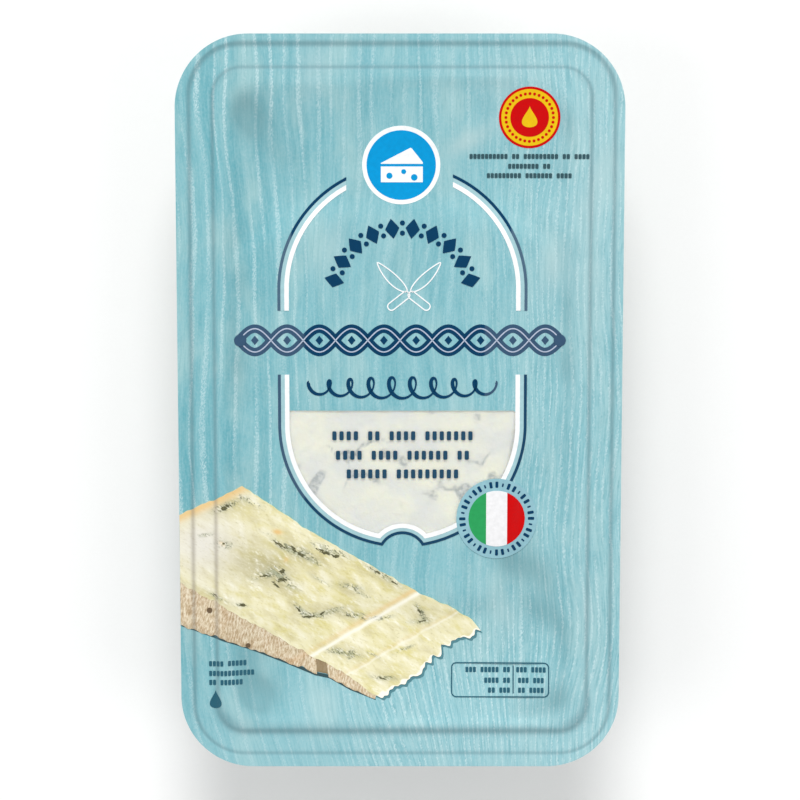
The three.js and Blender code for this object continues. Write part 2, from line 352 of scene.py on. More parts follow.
def ripple(x, y, z, wavelength, seed, waves=24):
    """Plane waves of about one wavelength in random directions and phases, summed to unit spread."""
    rng = np.random.default_rng(seed)
    directions = rng.normal(size=(waves, 3))
    directions /= np.linalg.norm(directions, axis=1)[:, None]
    numbers = 2 * math.pi / (wavelength * rng.uniform(0.7, 1.4, waves))
    phases = rng.uniform(0, 2 * math.pi, waves)
    total = np.zeros(np.broadcast(x, y, z).shape)
    for (dx, dy, dz), number, phase in zip(directions, numbers, phases):
        total += np.sin(number * (dx * x + dy * y + dz * z) + phase)
    return total / math.sqrt(waves / 2)


def blended(reaches, power):
    """The smallest of several ray lengths: the sum of their negative powers, to the negative root."""
    return sum(reach ** -power for reach in reaches) ** (-1 / power)


def line_reach(angle, px, py, nx, ny):
    """How far a ray from the middle runs before it crosses the line through a point with a normal."""
    closing = np.cos(angle) * nx + np.sin(angle) * ny
    return np.where(closing > 1e-6, (px * nx + py * ny) / np.maximum(closing, 1e-6), 1e6)


def cheese_reach(angle):
    """The cheese's radius at an angle: two closing sides, the tip's cut and an arc of rind, blended."""
    length = RIND_Y - TIP_Y
    closing = RIND_HALF_WIDTH - TIP_HALF_WIDTH
    slant = math.hypot(length, closing)
    centre = RIND_Y - RIND_RADIUS
    along = centre * np.sin(angle)
    arc = along + np.sqrt(np.maximum(along ** 2 + RIND_RADIUS ** 2 - centre ** 2, 1))
    right = line_reach(angle, TIP_HALF_WIDTH + CHEESE_SKEW, TIP_Y, length / slant, -closing / slant)
    left = line_reach(angle, CHEESE_SKEW - TIP_HALF_WIDTH, TIP_Y, -length / slant, -closing / slant)
    tip = line_reach(angle, 0, TIP_Y, 0, -1)
    return blended([right, left, tip, arc], CHEESE_CORNER_POWER)


def mouth_reach(angle):
    """The cavity mouth's radius at an angle: a rectangle inside the ledge with blended corners."""
    across = (HALF_WIDTH - LEDGE_END) / np.maximum(np.abs(np.cos(angle)), 1e-3)
    along = (HALF_LENGTH - LEDGE_END) / np.maximum(np.abs(np.sin(angle)), 1e-3)
    return blended([across, along], MOUTH_CORNER_POWER)


def inset_of(x, y):
    """Distance in from the flange's cut edge: the signed distance to a rounded rectangle whose
    corner radius is looked up at that distance, found by repeating the step."""
    inset = np.zeros(np.broadcast(x, y).shape)
    for _ in range(5):
        radius = np.interp(inset, RADIUS_INSETS, RADIUS_VALUES) + np.clip(inset, 0, None)
        qx = np.abs(x) - (HALF_WIDTH - radius)
        qy = np.abs(y) - (HALF_LENGTH - radius)
        outside = np.hypot(np.maximum(qx, 0), np.maximum(qy, 0))
        inset = radius - outside - np.minimum(np.maximum(qx, qy), 0)
    return inset


def creases(x, y):
    """The two pressed lines of the seal channel: a bell curve each over the inset, which is taken a
    little off centre, as the film was sealed. The outer one is fainter and wider at the top end,
    and the inner one wider at the foot."""
    inset = inset_of(x - SEAL_SHIFT[0], y - SEAL_SHIFT[1])
    outer_width = CREASE_WIDTH * (1 + ramp(y, *OUTER_CREASE_WIDER))
    inner_width = CREASE_WIDTH * (1 + ramp(y, *INNER_CREASE_WIDER))
    outer = (1 - ramp(y, *OUTER_CREASE_FAINTER)) * bell(inset - RIM_WIDTH - STEP_WIDTH / 2, outer_width)
    return outer + bell(inset - CHANNEL_END - STEP_WIDTH / 2, inner_width)


def flange_relief(x, y):
    """A smoothstep down into the seal channel and one back up, with a crease pressed at each."""
    inset = inset_of(x - SEAL_SHIFT[0], y - SEAL_SHIFT[1])
    down = ramp(inset, RIM_WIDTH, STEP_WIDTH)
    up = ramp(inset, CHANNEL_END, STEP_WIDTH)
    return -CHANNEL_DEPTH * (down - up) - CREASE_DEPTH * creases(x, y)


def patches(x, y, places):
    """Leaning bell curves: e to the minus squares of the distances along and across each, in its
    own half lengths and widths, times its strength, all summed."""
    total = np.zeros(x.shape)
    for px, py, half_length, half_width, lean, strength in places:
        turn = math.radians(lean)
        along = (x - px) * math.cos(turn) + (y - py) * math.sin(turn)
        across = (y - py) * math.cos(turn) - (x - px) * math.sin(turn)
        total += strength * bell(along, half_length) * bell(across, half_width)
    return total


def dents(x, y):
    """The loose film's dents, broken up by short waves."""
    return (1 + 0.3 * ripple(x, y, 0 * x, 12, 8)) * patches(x, y, DENTS)


def film_dip(x, y):
    """The film over the cavity: level and a little low on the cheese, then a smoothstep climb to
    the ledge less a parabola of slack that grows with the span."""
    angle = np.arctan2(y, x)
    edge = cheese_reach(angle)
    span = np.maximum(mouth_reach(angle) - edge, 1)
    t = np.clip((np.hypot(x, y) - edge) / span, 0, 1)
    slack = FILM_SLACK * span * 4 * t * (1 - t) * smooth(4 * t)
    waves = (WAVES_ON_CHEESE + WAVES_BESIDE_CHEESE * smooth(3 * t)) * ripple(x, y, 0 * x, 24, 5)
    wrinkles = waves + FINE_WAVES * ripple(x, y, 0 * x, 9, 6)
    return FILM_DROP_ON_CHEESE * (smooth(t) - 1) - slack + wrinkles


def film_height(x, y):
    """The height of the film's face: the flange's relief, and over the cavity the dip and the
    dents, which fade out towards the ledge."""
    inset = inset_of(x, y)
    over_cavity = ramp(inset, LEDGE_END, DENTS_START_OVER)
    loose = np.where(inset > LEDGE_END, film_dip(x, y), 0)
    settled = ramp(inset, LEDGE_END, FILM_SETTLES_OVER)
    sealed = FLANGE_HEIGHT + FILM_THICKNESS + FILM_LIFT + flange_relief(x, y)
    return sealed + settled * loose - over_cavity * dents(x, y)


def rounded_ring(inset, radius, count):
    """A rounded rectangle as one ring of points: each quarter is an arc, then a straight side, and
    the points are shared out so that every ring lines up with the next."""
    corner = count // 12
    long_side = count * 5 // 48 * 2
    short_side = count // 2 - 2 * corner - long_side
    a = HALF_WIDTH - inset - radius
    b = HALF_LENGTH - inset - radius
    xs, ys = [], []
    quarters = [(a, b, short_side), (-a, b, long_side), (-a, -b, short_side), (a, -b, long_side)]
    for quarter, (cx, cy, straight) in enumerate(quarters):
        turn = math.pi / 2 * (quarter + np.arange(corner) / (corner - 1))
        nx, ny, _ = quarters[(quarter + 1) % 4]
        share = np.arange(1, straight + 1) / (straight + 1)
        end = math.pi / 2 * (quarter + 1)
        xs += [cx + radius * np.cos(turn), cx + (nx - cx) * share + radius * math.cos(end)]
        ys += [cy + radius * np.sin(turn), cy + (ny - cy) * share + radius * math.sin(end)]
    return np.concatenate(xs), np.concatenate(ys)


def mesh_object(name, points, faces, materials, face_materials=None, attributes=None):
    """A named object from points in millimetres and a list of face arrays. Its faces are turned to
    point out, and its sharp edges stay crisp."""
    mesh = bpy.data.meshes.new(name)
    mesh.from_pydata((points * MM).tolist(), [], [face for group in faces for face in group.tolist()])
    for key, values in (attributes or {}).items():
        mesh.attributes.new(key, "FLOAT", "POINT").data.foreach_set("value", values.astype(np.float32))
    for material in materials:
        mesh.materials.append(material)
    if face_materials is not None:
        mesh.polygons.foreach_set("material_index", face_materials)
    shell = bmesh.new()
    shell.from_mesh(mesh)
    bmesh.ops.recalc_face_normals(shell, faces=shell.faces)
    shell.to_mesh(mesh)
    shell.free()
    mesh.polygons.foreach_set("use_smooth", np.ones(len(mesh.polygons), bool))
    mesh.set_sharp_from_angle(angle=SHARP_ANGLE)
    made = bpy.data.objects.new(name, mesh)
    bpy.context.scene.collection.objects.link(made)
    return made


def grid_faces(index):
    """Quads between neighbouring rows and columns of a grid of point numbers."""
    return np.stack([index[:-1, :-1], index[1:, :-1], index[1:, 1:], index[:-1, 1:]], -1).reshape(-1, 4)


def closed_rings(name, rings, materials, poles=True, face_materials=None, attributes=None):
    """A closed surface from rings of equal count, shaped (rings, count, 3). It ends in a point in
    the middle of its first and last ring, or else the last ring joins the first."""
    count, around = rings.shape[:2]
    index = np.arange(count * around).reshape(count, around)
    index = np.concatenate([index, index[:, :1]], axis=1)
    points = rings.reshape(-1, 3)
    if not poles:
        return mesh_object(name, points, [grid_faces(np.vstack([index, index[:1]]))], materials,
                           face_materials, attributes)
    first, last = count * around, count * around + 1
    points = np.vstack([points, rings[0].mean(0), rings[-1].mean(0)])
    start = np.stack([np.full(around, first), index[0, :-1], index[0, 1:]], -1)
    end = np.stack([np.full(around, last), index[-1, 1:], index[-1, :-1]], -1)
    if attributes:
        attributes = {k: np.append(v, [v[:around].mean(), v[-around:].mean()]) for k, v in attributes.items()}
    return mesh_object(name, points, [grid_faces(index), start, end], materials, face_materials, attributes)


def between(curve_a, curve_b, rows):
    """A patch whose rows run straight from one curve's points to the other's, as x and y grids."""
    share = np.linspace(0, 1, rows)[:, None]
    (ax, ay), (bx, by) = curve_a, curve_b
    return ax + (bx - ax) * share, ay + (by - ay) * share


def ribbon(px, py, width, rows=4, closed=False):
    """A band of a given width, or widths, along a path: its edges lie half a width to either side
    along the path's normal."""
    if closed:
        tx = np.roll(px, -1) - np.roll(px, 1)
        ty = np.roll(py, -1) - np.roll(py, 1)
    else:
        tx, ty = np.gradient(px), np.gradient(py)
    size = np.hypot(tx, ty)
    nx, ny = -ty / size * width / 2, tx / size * width / 2
    return between((px + nx, py + ny), (px - nx, py - ny), rows)


def on_pack(piece):
    """Everything is one body, so every piece rides on the root."""
    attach(piece, "root")
    return piece


def laid(name, patch, level, material, closed=False, attributes=None):
    """A printed field: a thin slab over a patch that follows the film's face, one ink step high for
    each level. A closed patch joins its last column to its first."""
    x, y = patch
    face = film_height(x, y)
    top = np.stack([x, y, face + level * INK_STEP], -1).reshape(-1, 3)
    bottom = np.stack([x, y, face - INK_SINK], -1).reshape(-1, 3)
    index = np.arange(x.size).reshape(x.shape)
    if closed:
        index = np.concatenate([index, index[:, :1]], axis=1)
    under = index + x.size
    edges = [(index[0], under[0]), (index[-1], under[-1])]
    if not closed:
        edges += [(index[:, 0], under[:, 0]), (index[:, -1], under[:, -1])]
    faces = [grid_faces(index), grid_faces(under)] + [grid_faces(np.stack(pair)) for pair in edges]
    # The crease values set the painted shade along the seal lines.
    values = {"crease": creases(x, y), **(attributes or {})}
    both = {key: np.concatenate([value.ravel(), value.ravel()]) for key, value in values.items()}
    piece = mesh_object(name, np.vstack([top, bottom]), faces, [material], None, both)
    return on_pack(piece)


def stamped(name, centres, outline, level, material, turns=0.0, sizes=1.0):
    """Many small marks of one outline: each is turned, sized and moved to its centre, drawn in
    shrinking rings so that it follows the film's face, and closed underneath by one face."""
    centres = np.asarray(centres, float)
    turns = np.broadcast_to(turns, len(centres))[:, None, None]
    sizes = np.broadcast_to(sizes, len(centres))[:, None, None]
    rings = np.array([1.0, 0.55, 0.12])[:, None]
    ox, oy = outline[0] * rings, outline[1] * rings
    x = centres[:, 0, None, None] + sizes * (ox * np.cos(turns) - oy * np.sin(turns))
    y = centres[:, 1, None, None] + sizes * (ox * np.sin(turns) + oy * np.cos(turns))
    face = film_height(x, y)
    top = np.stack([x, y, face + level * INK_STEP], -1).reshape(-1, 3)
    bottom = np.stack([x, y, face - INK_SINK], -1)[:, 0].reshape(-1, 3)
    index = np.arange(x.size).reshape(x.shape)
    under = x.size + np.arange(len(bottom)).reshape(len(centres), -1)
    stack = np.concatenate([under[:, None], index], axis=1)
    following = np.roll(stack, -1, axis=2)
    walls = np.stack([stack[:, :-1], following[:, :-1], following[:, 1:], stack[:, 1:]], -1).reshape(-1, 4)
    faces = [walls, index[:, -1], under]
    piece = mesh_object(name, np.vstack([top, bottom]), faces, [material])
    return on_pack(piece)


def arc(cx, cy, radius, start, end, count):
    """Points of a circle's arc between two angles in degrees."""
    turn = np.radians(np.linspace(start, end, count))
    return cx + radius * np.cos(turn), cy + radius * np.sin(turn)


def circle(radius, count):
    """A closed circle about the middle, without a repeated last point."""
    turn = turns_round(count)
    return radius * np.cos(turn), radius * np.sin(turn)


def on_ring(middle, radius, angles):
    """Points at angles on a circle round a middle, one to a row."""
    return np.stack([middle[0] + radius * np.cos(angles), middle[1] + radius * np.sin(angles)], -1)


def disc(cx, cy, radius, count=40):
    """A square grid pressed into a disc: each coordinate is shortened by the other's square."""
    u, v = np.meshgrid(np.linspace(-1, 1, count), np.linspace(-1, 1, count))
    return cx + radius * u * np.sqrt(1 - v * v / 2), cy + radius * v * np.sqrt(1 - u * u / 2)


def polyline(points, count):
    """Straight stretches between points, divided evenly by length."""
    p = np.array(points, float)
    walked = np.append(0, np.cumsum(np.hypot(*np.diff(p, axis=0).T)))
    at = np.linspace(0, walked[-1], count)
    return np.interp(at, walked, p[:, 0]), np.interp(at, walked, p[:, 1])


def rounded_outline(half_width, half_height, corner, steps=5):
    """A small rounded rectangle about the middle: four quarter arcs."""
    turn = math.pi / 2 * (np.arange(4)[:, None] + np.linspace(0, 1, steps)[None, :])
    right = np.array([1, -1, -1, 1])[:, None]
    up = np.array([1, 1, -1, -1])[:, None]
    x = right * (half_width - corner) + corner * np.cos(turn)
    y = up * (half_height - corner) + corner * np.sin(turn)
    return x.ravel(), y.ravel()


def drop_outline(half_width, half_height, count):
    """A drop about the middle: a circle's width shrinks towards the top by one less the sine."""
    turn = turns_round(count)
    return half_width * np.cos(turn) * (1 - np.sin(turn)) / 1.3, half_height * np.sin(turn)


def linear(hex_colour):
    """An sRGB hex colour as linear red, green, blue and an alpha of 1."""
    parts = [int(hex_colour[i:i + 2], 16) / 255 for i in (1, 3, 5)]
    return [c / 12.92 if c <= 0.04045 else ((c + 0.055) / 1.055) ** 2.4 for c in parts] + [1.0]


def add(tree, kind, inputs=None, output=0, **settings):
    """Adds one shader node, sets its properties, fills or links its inputs, and gives one output."""
    made = tree.nodes.new("ShaderNode" + kind)
    for key, value in settings.items():
        setattr(made, key, value)
    for key, value in (inputs or {}).items():
        if isinstance(value, bpy.types.NodeSocket):
            tree.links.new(value, made.inputs[key])
        else:
            made.inputs[key].default_value = value
    return made.outputs[output]


def new_material(name):
    """A material with only its output, and its tree."""
    material = bpy.data.materials.new(name)
    material.use_nodes = True
    tree = material.node_tree
    tree.nodes.remove(tree.nodes["Principled BSDF"])
    return material, tree


def surfaced(tree, shader):
    """Links a shader to the material's output."""
    tree.links.new(shader, tree.nodes["Material Output"].inputs["Surface"])


def in_millimetres(tree, sizes=(1, 1, 1), turn=0.0):
    """Object coordinates in millimetres, turned about Z, then divided along each axis by a size."""
    place = add(tree, "TexCoord", output="Object")
    if turn:
        place = add(tree, "Mapping", {"Vector": place, "Rotation": (0, 0, turn)})
    return add(tree, "Mapping", {"Vector": place, "Scale": [1 / (MM * size) for size in sizes]})


def layered(tree, colour, layers):
    """Colours laid one after another over a first one, each through its own mask."""
    for mask, hex_colour in layers:
        colour = add(tree, "Mix", {0: mask, 6: colour, 7: linear(hex_colour)}, 2, data_type="RGBA")
    return colour


def film_finish(tree, colour, roughness=0.3, crease_shade_hex="#5C7C85"):
    """The laminate's own surface over any ink: smooth, satin, with painted shade along the pressed seal
    lines, and the faint waves of a drawn film."""
    # Painted shade: the colour darkens along the seal's pressed lines, as far as the crease attribute says.
    crease_shade = add(tree, "Attribute", output="Fac", attribute_name="crease")
    crease_shade = add(tree, "Math", {0: crease_shade, 1: 0.5}, operation="MULTIPLY")
    colour = layered(tree, colour, [(crease_shade, crease_shade_hex)])
    waves = add(tree, "TexNoise", {"Vector": in_millimetres(tree, (5, 5, 5)), "Scale": 1.0})
    normal = add(tree, "Bump", {"Height": waves, "Strength": 0.15, "Distance": 0.1 * MM})
    inputs = {"Base Color": colour, "Roughness": roughness, "IOR": 1.5, "Specular IOR Level": 0.15,
              "Normal": normal}
    surfaced(tree, add(tree, "BsdfPrincipled", inputs))


def gravure_wood_print():
    """Gravure-printed polyester laminate with a painted-wood motif: it gives turquoise brushed
    boards with chalky streaks about 3.7 mm apart, fine hairs between them, and pale clouds. The
    film's attributes say how far across the grain a point lies, how bold the streaks are there, how
    hairy the brushing is, how pale the boards are, paler at the foot partly as painted light, where a
    pale wisp shows, partly a painted highlight, and where painted shade darkens a dent."""
    material, tree = new_material("gravure_printed_laminate_painted_wood")
    across, bold, hairy, paler, wisp_sheen, dent_shade = [add(tree, "Attribute", output="Fac", attribute_name=name)
                                              for name in ("grain", "bold", "hairy", "paler", "wisp_sheen", "dent_shade")]
    along = add(tree, "SeparateXYZ", {0: in_millimetres(tree)}, "Y")
    grain = add(tree, "CombineXYZ", {0: across, 1: along})

    def on_grain(width, length):
        """The place on the grain, divided by a width across it and a length along it."""
        return add(tree, "Mapping", {"Vector": grain, "Scale": (1 / width, 1 / length, 1)})

    def streaks(spacing, wander, width, patch_length):
        """The crests of a sine across the grain, moved about by a slow noise, frayed by a fast one
        and broken off by a third."""
        slow = add(tree, "TexNoise", {"Vector": on_grain(7, 120), "Scale": 1.0, "Detail": 1.0})
        fast = add(tree, "TexNoise", {"Vector": on_grain(0.45, 0.8), "Scale": 1.0, "Detail": 2.0})
        moved = add(tree, "Math", {0: slow, 1: wander, 2: across}, operation="MULTIPLY_ADD")
        moved = add(tree, "Math", {0: fast, 1: 1.1, 2: moved}, operation="MULTIPLY_ADD")
        phase = add(tree, "Math", {0: moved, 1: 2 * math.pi / spacing}, operation="MULTIPLY")
        crest = add(tree, "Math", {0: phase}, operation="SINE")
        edge = math.cos(math.pi * width / spacing)
        line = add(tree, "MapRange", {0: crest, 1: edge - 0.2, 2: edge + 0.25},
                   interpolation_type="SMOOTHSTEP")
        patch = on_grain(spacing * 0.8, patch_length)
        patch = add(tree, "TexNoise", {"Vector": patch, "Scale": 1.0, "Detail": 2.0})
        patch = add(tree, "MapRange", {0: patch, 1: 0.36, 2: 0.54, 3: 0.25}, interpolation_type="SMOOTHSTEP")
        return add(tree, "Math", {0: line, 1: patch}, operation="MULTIPLY")

    chalk = in_millimetres(tree, (0.26, 0.6, 1), 0.4)
    chalk = add(tree, "TexNoise", {"Vector": chalk, "Scale": 1.0, "Detail": 3.0, "Roughness": 0.75})
    chalk = add(tree, "MapRange", {0: chalk, 1: 0.43, 2: 0.58, 3: 0.15})
    wide = add(tree, "Math", {0: streaks(3.7, 4.5, 0.95, 45), 1: bold}, operation="MULTIPLY")
    narrow = add(tree, "Math", {0: streaks(1.7, 3.0, 0.5, 14), 1: hairy}, operation="MULTIPLY")
    lines = add(tree, "Math", {0: wide, 1: narrow}, operation="MAXIMUM")
    lines = add(tree, "Math", {0: lines, 1: chalk}, operation="MULTIPLY")
    hair = add(tree, "TexNoise", {"Vector": on_grain(0.38, 6), "Scale": 1.0, "Detail": 3.0, "Roughness": 0.6})
    amount = add(tree, "Math", {0: hairy, 1: 0.3, 2: 0.24}, operation="MULTIPLY_ADD")
    light_hair = add(tree, "MapRange", {0: hair, 1: 0.5, 2: 0.68, 4: amount})
    dark_hair = add(tree, "MapRange", {0: hair, 1: 0.5, 2: 0.32, 4: amount})
    board = add(tree, "TexNoise", {"Vector": on_grain(3.5, 90), "Scale": 1.0, "Detail": 3.0})
    board = add(tree, "MapRange", {0: board, 1: 0.34, 2: 0.66}, interpolation_type="SMOOTHSTEP")
    cloud = add(tree, "TexNoise", {"Vector": on_grain(9, 24), "Scale": 1.0, "Detail": 4.0, "Roughness": 0.55})
    cloud = add(tree, "MapRange", {0: cloud, 1: 0.42, 2: 0.7, 4: 0.7}, interpolation_type="SMOOTHSTEP")
    grit = add(tree, "TexNoise", {"Vector": in_millimetres(tree, (0.5, 0.7, 1)), "Scale": 1.0, "Detail": 2.0})
    grit = add(tree, "MapRange", {0: grit, 1: 0.4, 2: 0.65, 4: 0.16})
    streak = add(tree, "Math", {0: lines, 1: 0.9}, operation="MULTIPLY")
    # Among these layers the foot's paleness is partly painted light, the wisps partly painted highlights, and
    # the dent colour painted shade.
    layers = [(board, "#7DB7C0"), (cloud, "#A4C8C9"), (paler, "#A4D0D7"), (dark_hair, "#5F9EA8"),
              (light_hair, "#A8D0D5"), (grit, "#B4D2D5"), (wisp_sheen, "#B5CFD0"), (streak, "#C5E0E3"),
              (dent_shade, "#6A969D")]
    film_finish(tree, layered(tree, linear("#66A9B4"), layers))
    return material


def white_backing():
    """The laminate's inner side: white backing ink under a sealing layer, slightly uneven."""
    material, tree = new_material("white_backed_laminate")
    clouds = add(tree, "TexNoise", {"Vector": in_millimetres(tree, (3, 3, 3)), "Scale": 1.0})
    film_finish(tree, layered(tree, linear("#E4E8E8"), [(clouds, "#F2F4F3")]), 0.35)
    return material


def ink(name, hex_colour, sheen_hex=None, sheen_from=0, middle=0, left_only=False):
    """Gravure ink under the laminate: dense colour with a faint darker mottle. A painted sheen colour,
    where given, takes over a distance from a middle, to both sides or the left one."""
    material, tree = new_material(f"{name}_gravure_ink")
    mottle = add(tree, "TexNoise", {"Vector": in_millimetres(tree, (1.1, 1.1, 1.1)), "Scale": 1.0})
    mottle = add(tree, "MapRange", {0: mottle, 1: 0.3, 2: 0.7, 4: 0.1})
    colour = linear(hex_colour)
    # Painted sheen: a paler, greyer colour away from the middle.
    if sheen_hex:
        away = add(tree, "SeparateXYZ", {0: in_millimetres(tree)}, "X")
        away = add(tree, "Math", {0: away, 1: middle}, operation="SUBTRACT")
        if left_only:
            away = add(tree, "Math", {0: away, 1: -1.0}, operation="MULTIPLY")
        else:
            away = add(tree, "Math", {0: away}, operation="ABSOLUTE")
        sheen = {0: away, 1: sheen_from, 2: sheen_from + 0.6}
        sheen = add(tree, "MapRange", sheen, interpolation_type="SMOOTHSTEP")
        colour = layered(tree, colour, [(sheen, sheen_hex)])
    film_finish(tree, layered(tree, colour, [(mottle, "#0C1A22")]))
    return material


def clear_sheet(name, tint, haze_colour, haze, roughness):
    """A clear plastic sheet: light passes straight through, the surface mirrors more at a slant (a
    25th head on, and the fifth power of the facing angle besides), and a little haze scatters."""
    material, tree = new_material(name)
    through = add(tree, "BsdfTransparent", {"Color": linear(tint)})
    milk = add(tree, "BsdfDiffuse", {"Color": linear(haze_colour)})
    body = add(tree, "MixShader", {0: haze, 1: through, 2: milk})
    waves = add(tree, "TexNoise", {"Vector": in_millimetres(tree, (6, 6, 6)), "Scale": 1.0})
    normal = add(tree, "Bump", {"Height": waves, "Strength": 0.2, "Distance": 0.1 * MM})
    mirror = add(tree, "BsdfGlossy", {"Roughness": roughness, "Normal": normal})
    slant = add(tree, "LayerWeight", {"Blend": 0.5, "Normal": normal}, "Facing")
    slant = add(tree, "Math", {0: slant, 1: 5.0}, operation="POWER")
    shine = add(tree, "Math", {0: slant, 1: 0.96, 2: 0.04}, operation="MULTIPLY_ADD")
    surfaced(tree, add(tree, "MixShader", {0: shine, 1: body, 2: mirror}))
    return material


def blue_cheese():
    """Blue cheese, cut and slightly moist: pale cream paste that is a little translucent, grey-blue
    mould along its cracks, and a dry tan rind."""
    material, tree = new_material("blue_cheese_paste_and_rind")
    veins = add(tree, "Attribute", output="Fac", attribute_name="veins")
    rind = add(tree, "Attribute", output="Fac", attribute_name="rind")
    cloud = add(tree, "TexNoise", {"Vector": in_millimetres(tree, (8, 8, 8)), "Scale": 1.0, "Detail": 4.0})
    cloud = add(tree, "MapRange", {0: cloud, 1: 0.4, 2: 0.62})
    crumb = in_millimetres(tree, (1.2, 1.2, 1.2))
    crumb = add(tree, "TexNoise", {"Vector": crumb, "Scale": 1.0, "Detail": 5.0, "Roughness": 0.6})
    grains = add(tree, "MapRange", {0: crumb, 1: 0.55, 2: 0.8, 4: 0.3})
    blush = add(tree, "MapRange", {0: veins, 1: 0.0, 2: 0.7, 4: 0.5})
    broken = add(tree, "MapRange", {0: crumb, 1: 0.42, 2: 0.58, 3: 1.0, 4: 0.15})
    mould = add(tree, "Math", {0: veins, 1: broken}, operation="MULTIPLY")
    layers = [(cloud, "#F1F0EE"), (grains, "#F3ECD8"), (blush, "#CCCED1"), (mould, "#76848E")]
    paste = layered(tree, linear("#FFFBEC"), layers)
    bands = add(tree, "TexNoise", {"Vector": in_millimetres(tree, (2, 2, 0.7)), "Scale": 1.0, "Detail": 4.0})
    skin = layered(tree, linear("#B98F66"), [(bands, "#DDBE98")])
    colour = add(tree, "Mix", {0: rind, 6: paste, 7: skin}, 2, data_type="RGBA")
    rough = add(tree, "MapRange", {0: crumb, 1: 0.3, 2: 0.7, 3: 0.42, 4: 0.62})
    normal = add(tree, "Bump", {"Height": crumb, "Strength": 0.5, "Distance": 0.25 * MM})
    inputs = {"Base Color": colour, "Roughness": rough, "IOR": 1.45, "Subsurface Weight": 0.25,
              "Subsurface Radius": (1, 0.8, 0.5), "Subsurface Scale": 1.5 * MM, "Normal": normal}
    surfaced(tree, add(tree, "BsdfPrincipled", inputs))
    return material


def picture_paste():
    """The printed picture's cut face: cream and yellow in soft clouds, embossed along its grain by
    the difference of two shifted noises, with grey-green cracks where mould gathers, dark pits,
    tan where it turns down, and pale ridges and a torn pale end."""
    material, tree = new_material("gravure_picture_of_cut_cheese")
    mould, pit, dusk, tan, pale, milky = [add(tree, "Attribute", output="Fac", attribute_name=name)
                                          for name in ("mould", "pit", "dusk", "tan", "pale", "milky")]
    cloud = in_millimetres(tree, (8, 3.2, 7), -GRAIN_OF_PICTURE)
    cloud = add(tree, "TexNoise", {"Vector": cloud, "Scale": 1.0, "Detail": 5.0, "Roughness": 0.55})
    place = in_millimetres(tree, (2.9, 1.6, 1), -GRAIN_OF_PICTURE)
    stepped = add(tree, "Mapping", {"Vector": place, "Location": (0.08, 0.24, 0)})
    lit, unlit = [add(tree, "TexNoise", {"Vector": at, "Scale": 1.0, "Detail": 5.0, "Roughness": 0.55})
                  for at in (place, stepped)]
    slope = add(tree, "Math", {0: lit, 1: unlit}, operation="SUBTRACT")
    broad = in_millimetres(tree, (6.5, 4.2, 1), -GRAIN_OF_PICTURE)
    moved = add(tree, "Mapping", {"Vector": broad, "Location": (0.1, 0.3, 0)})
    swell, unswelled = [add(tree, "TexNoise", {"Vector": at, "Scale": 1.0, "Detail": 1.0})
                        for at in (broad, moved)]
    swell_slope = add(tree, "Math", {0: swell, 1: unswelled}, operation="SUBTRACT")
    split = add(tree, "Math", {0: lit, 1: 0.5}, operation="SUBTRACT")
    split = add(tree, "Math", {0: split}, operation="ABSOLUTE")
    fine = in_millimetres(tree, (1.1, 0.42, 1), -GRAIN_OF_PICTURE)
    fine = add(tree, "TexNoise", {"Vector": fine, "Scale": 1.0, "Detail": 3.0, "Roughness": 0.6})
    near = add(tree, "MapRange", {0: mould, 1: 0.06, 2: 0.5}, interpolation_type="SMOOTHSTEP")

    # Each mask: what it is taken from, the values between which it changes, and what from and to
    ranges = {"butter": (cloud, 0.54, 0.38, 0, 1), "crest": (swell_slope, 0.02, 0.2, 0, 0.6),
              "trough": (swell_slope, -0.02, -0.2, 0, 0.6), "rough": (swell, 0.42, 0.58, 0.12, 0.75),
              "shine": (slope, 0.03, 0.2, 0, 1), "calm": (milky, 0.1, 0.8, 1, 0.2),
              "shade": (slope, -0.05, -0.22, 0, 0.45), "blush": (lit, 0.4, 0.6, 1, 0.1),
              "crumb": (fine, 0.5, 0.72, 0, 0.3), "speck": (fine, 0.38, 0.32, 0, 0.3),
              "crack": (split, 0.028, 0.008, 0, 1), "fleck": (fine, 0.42, 0.33, 0, 1),
              "chalk": (fine, 0.56, 0.64, 0, 0.6), "frayed": (fine, 0.35, 0.65, 0.4, -0.4),
              "bottom": (fine, 0.52, 0.6, 0, 0.5)}
    masks = {name: add(tree, "MapRange", dict(enumerate(values))) for name, values in ranges.items()}
    hollow = add(tree, "Math", {0: pit, 1: masks["frayed"]}, operation="ADD")
    hollow = add(tree, "MapRange", {0: hollow, 1: 0.46, 2: 0.7})
    masks.update(milky=milky, dusk=dusk, tan=tan, pale=pale, hollow=hollow, olive=hollow)
    for name, factor in (("shine", masks["rough"]), ("shine", masks["calm"]), ("blush", mould),
                         ("crack", near), ("fleck", near), ("chalk", near), ("olive", masks["bottom"])):
        masks[name] = add(tree, "Math", {0: masks[name], 1: factor}, operation="MULTIPLY")
    colours = {"butter": "#E0D693", "trough": "#D2C898", "crest": "#FBF7E0", "milky": "#E8E4D9",
               "dusk": "#A69E76", "crumb": "#F6F3DF", "shade": "#BFB483", "shine": "#FFFDEC",
               "speck": "#A9A17A", "blush": "#A1A68A", "tan": "#EAC484", "crack": "#7F8269",
               "fleck": "#767960", "chalk": "#F8F5E4", "hollow": "#5E5C42", "olive": "#99925F",
               "pale": "#FFFCEC"}
    layers = [(masks[name], colour) for name, colour in colours.items()]
    # The warm grey is the painted shade along the seal lines over the picture.
    film_finish(tree, layered(tree, linear("#EEE7BD"), layers), crease_shade_hex="#8D8478")
    return material


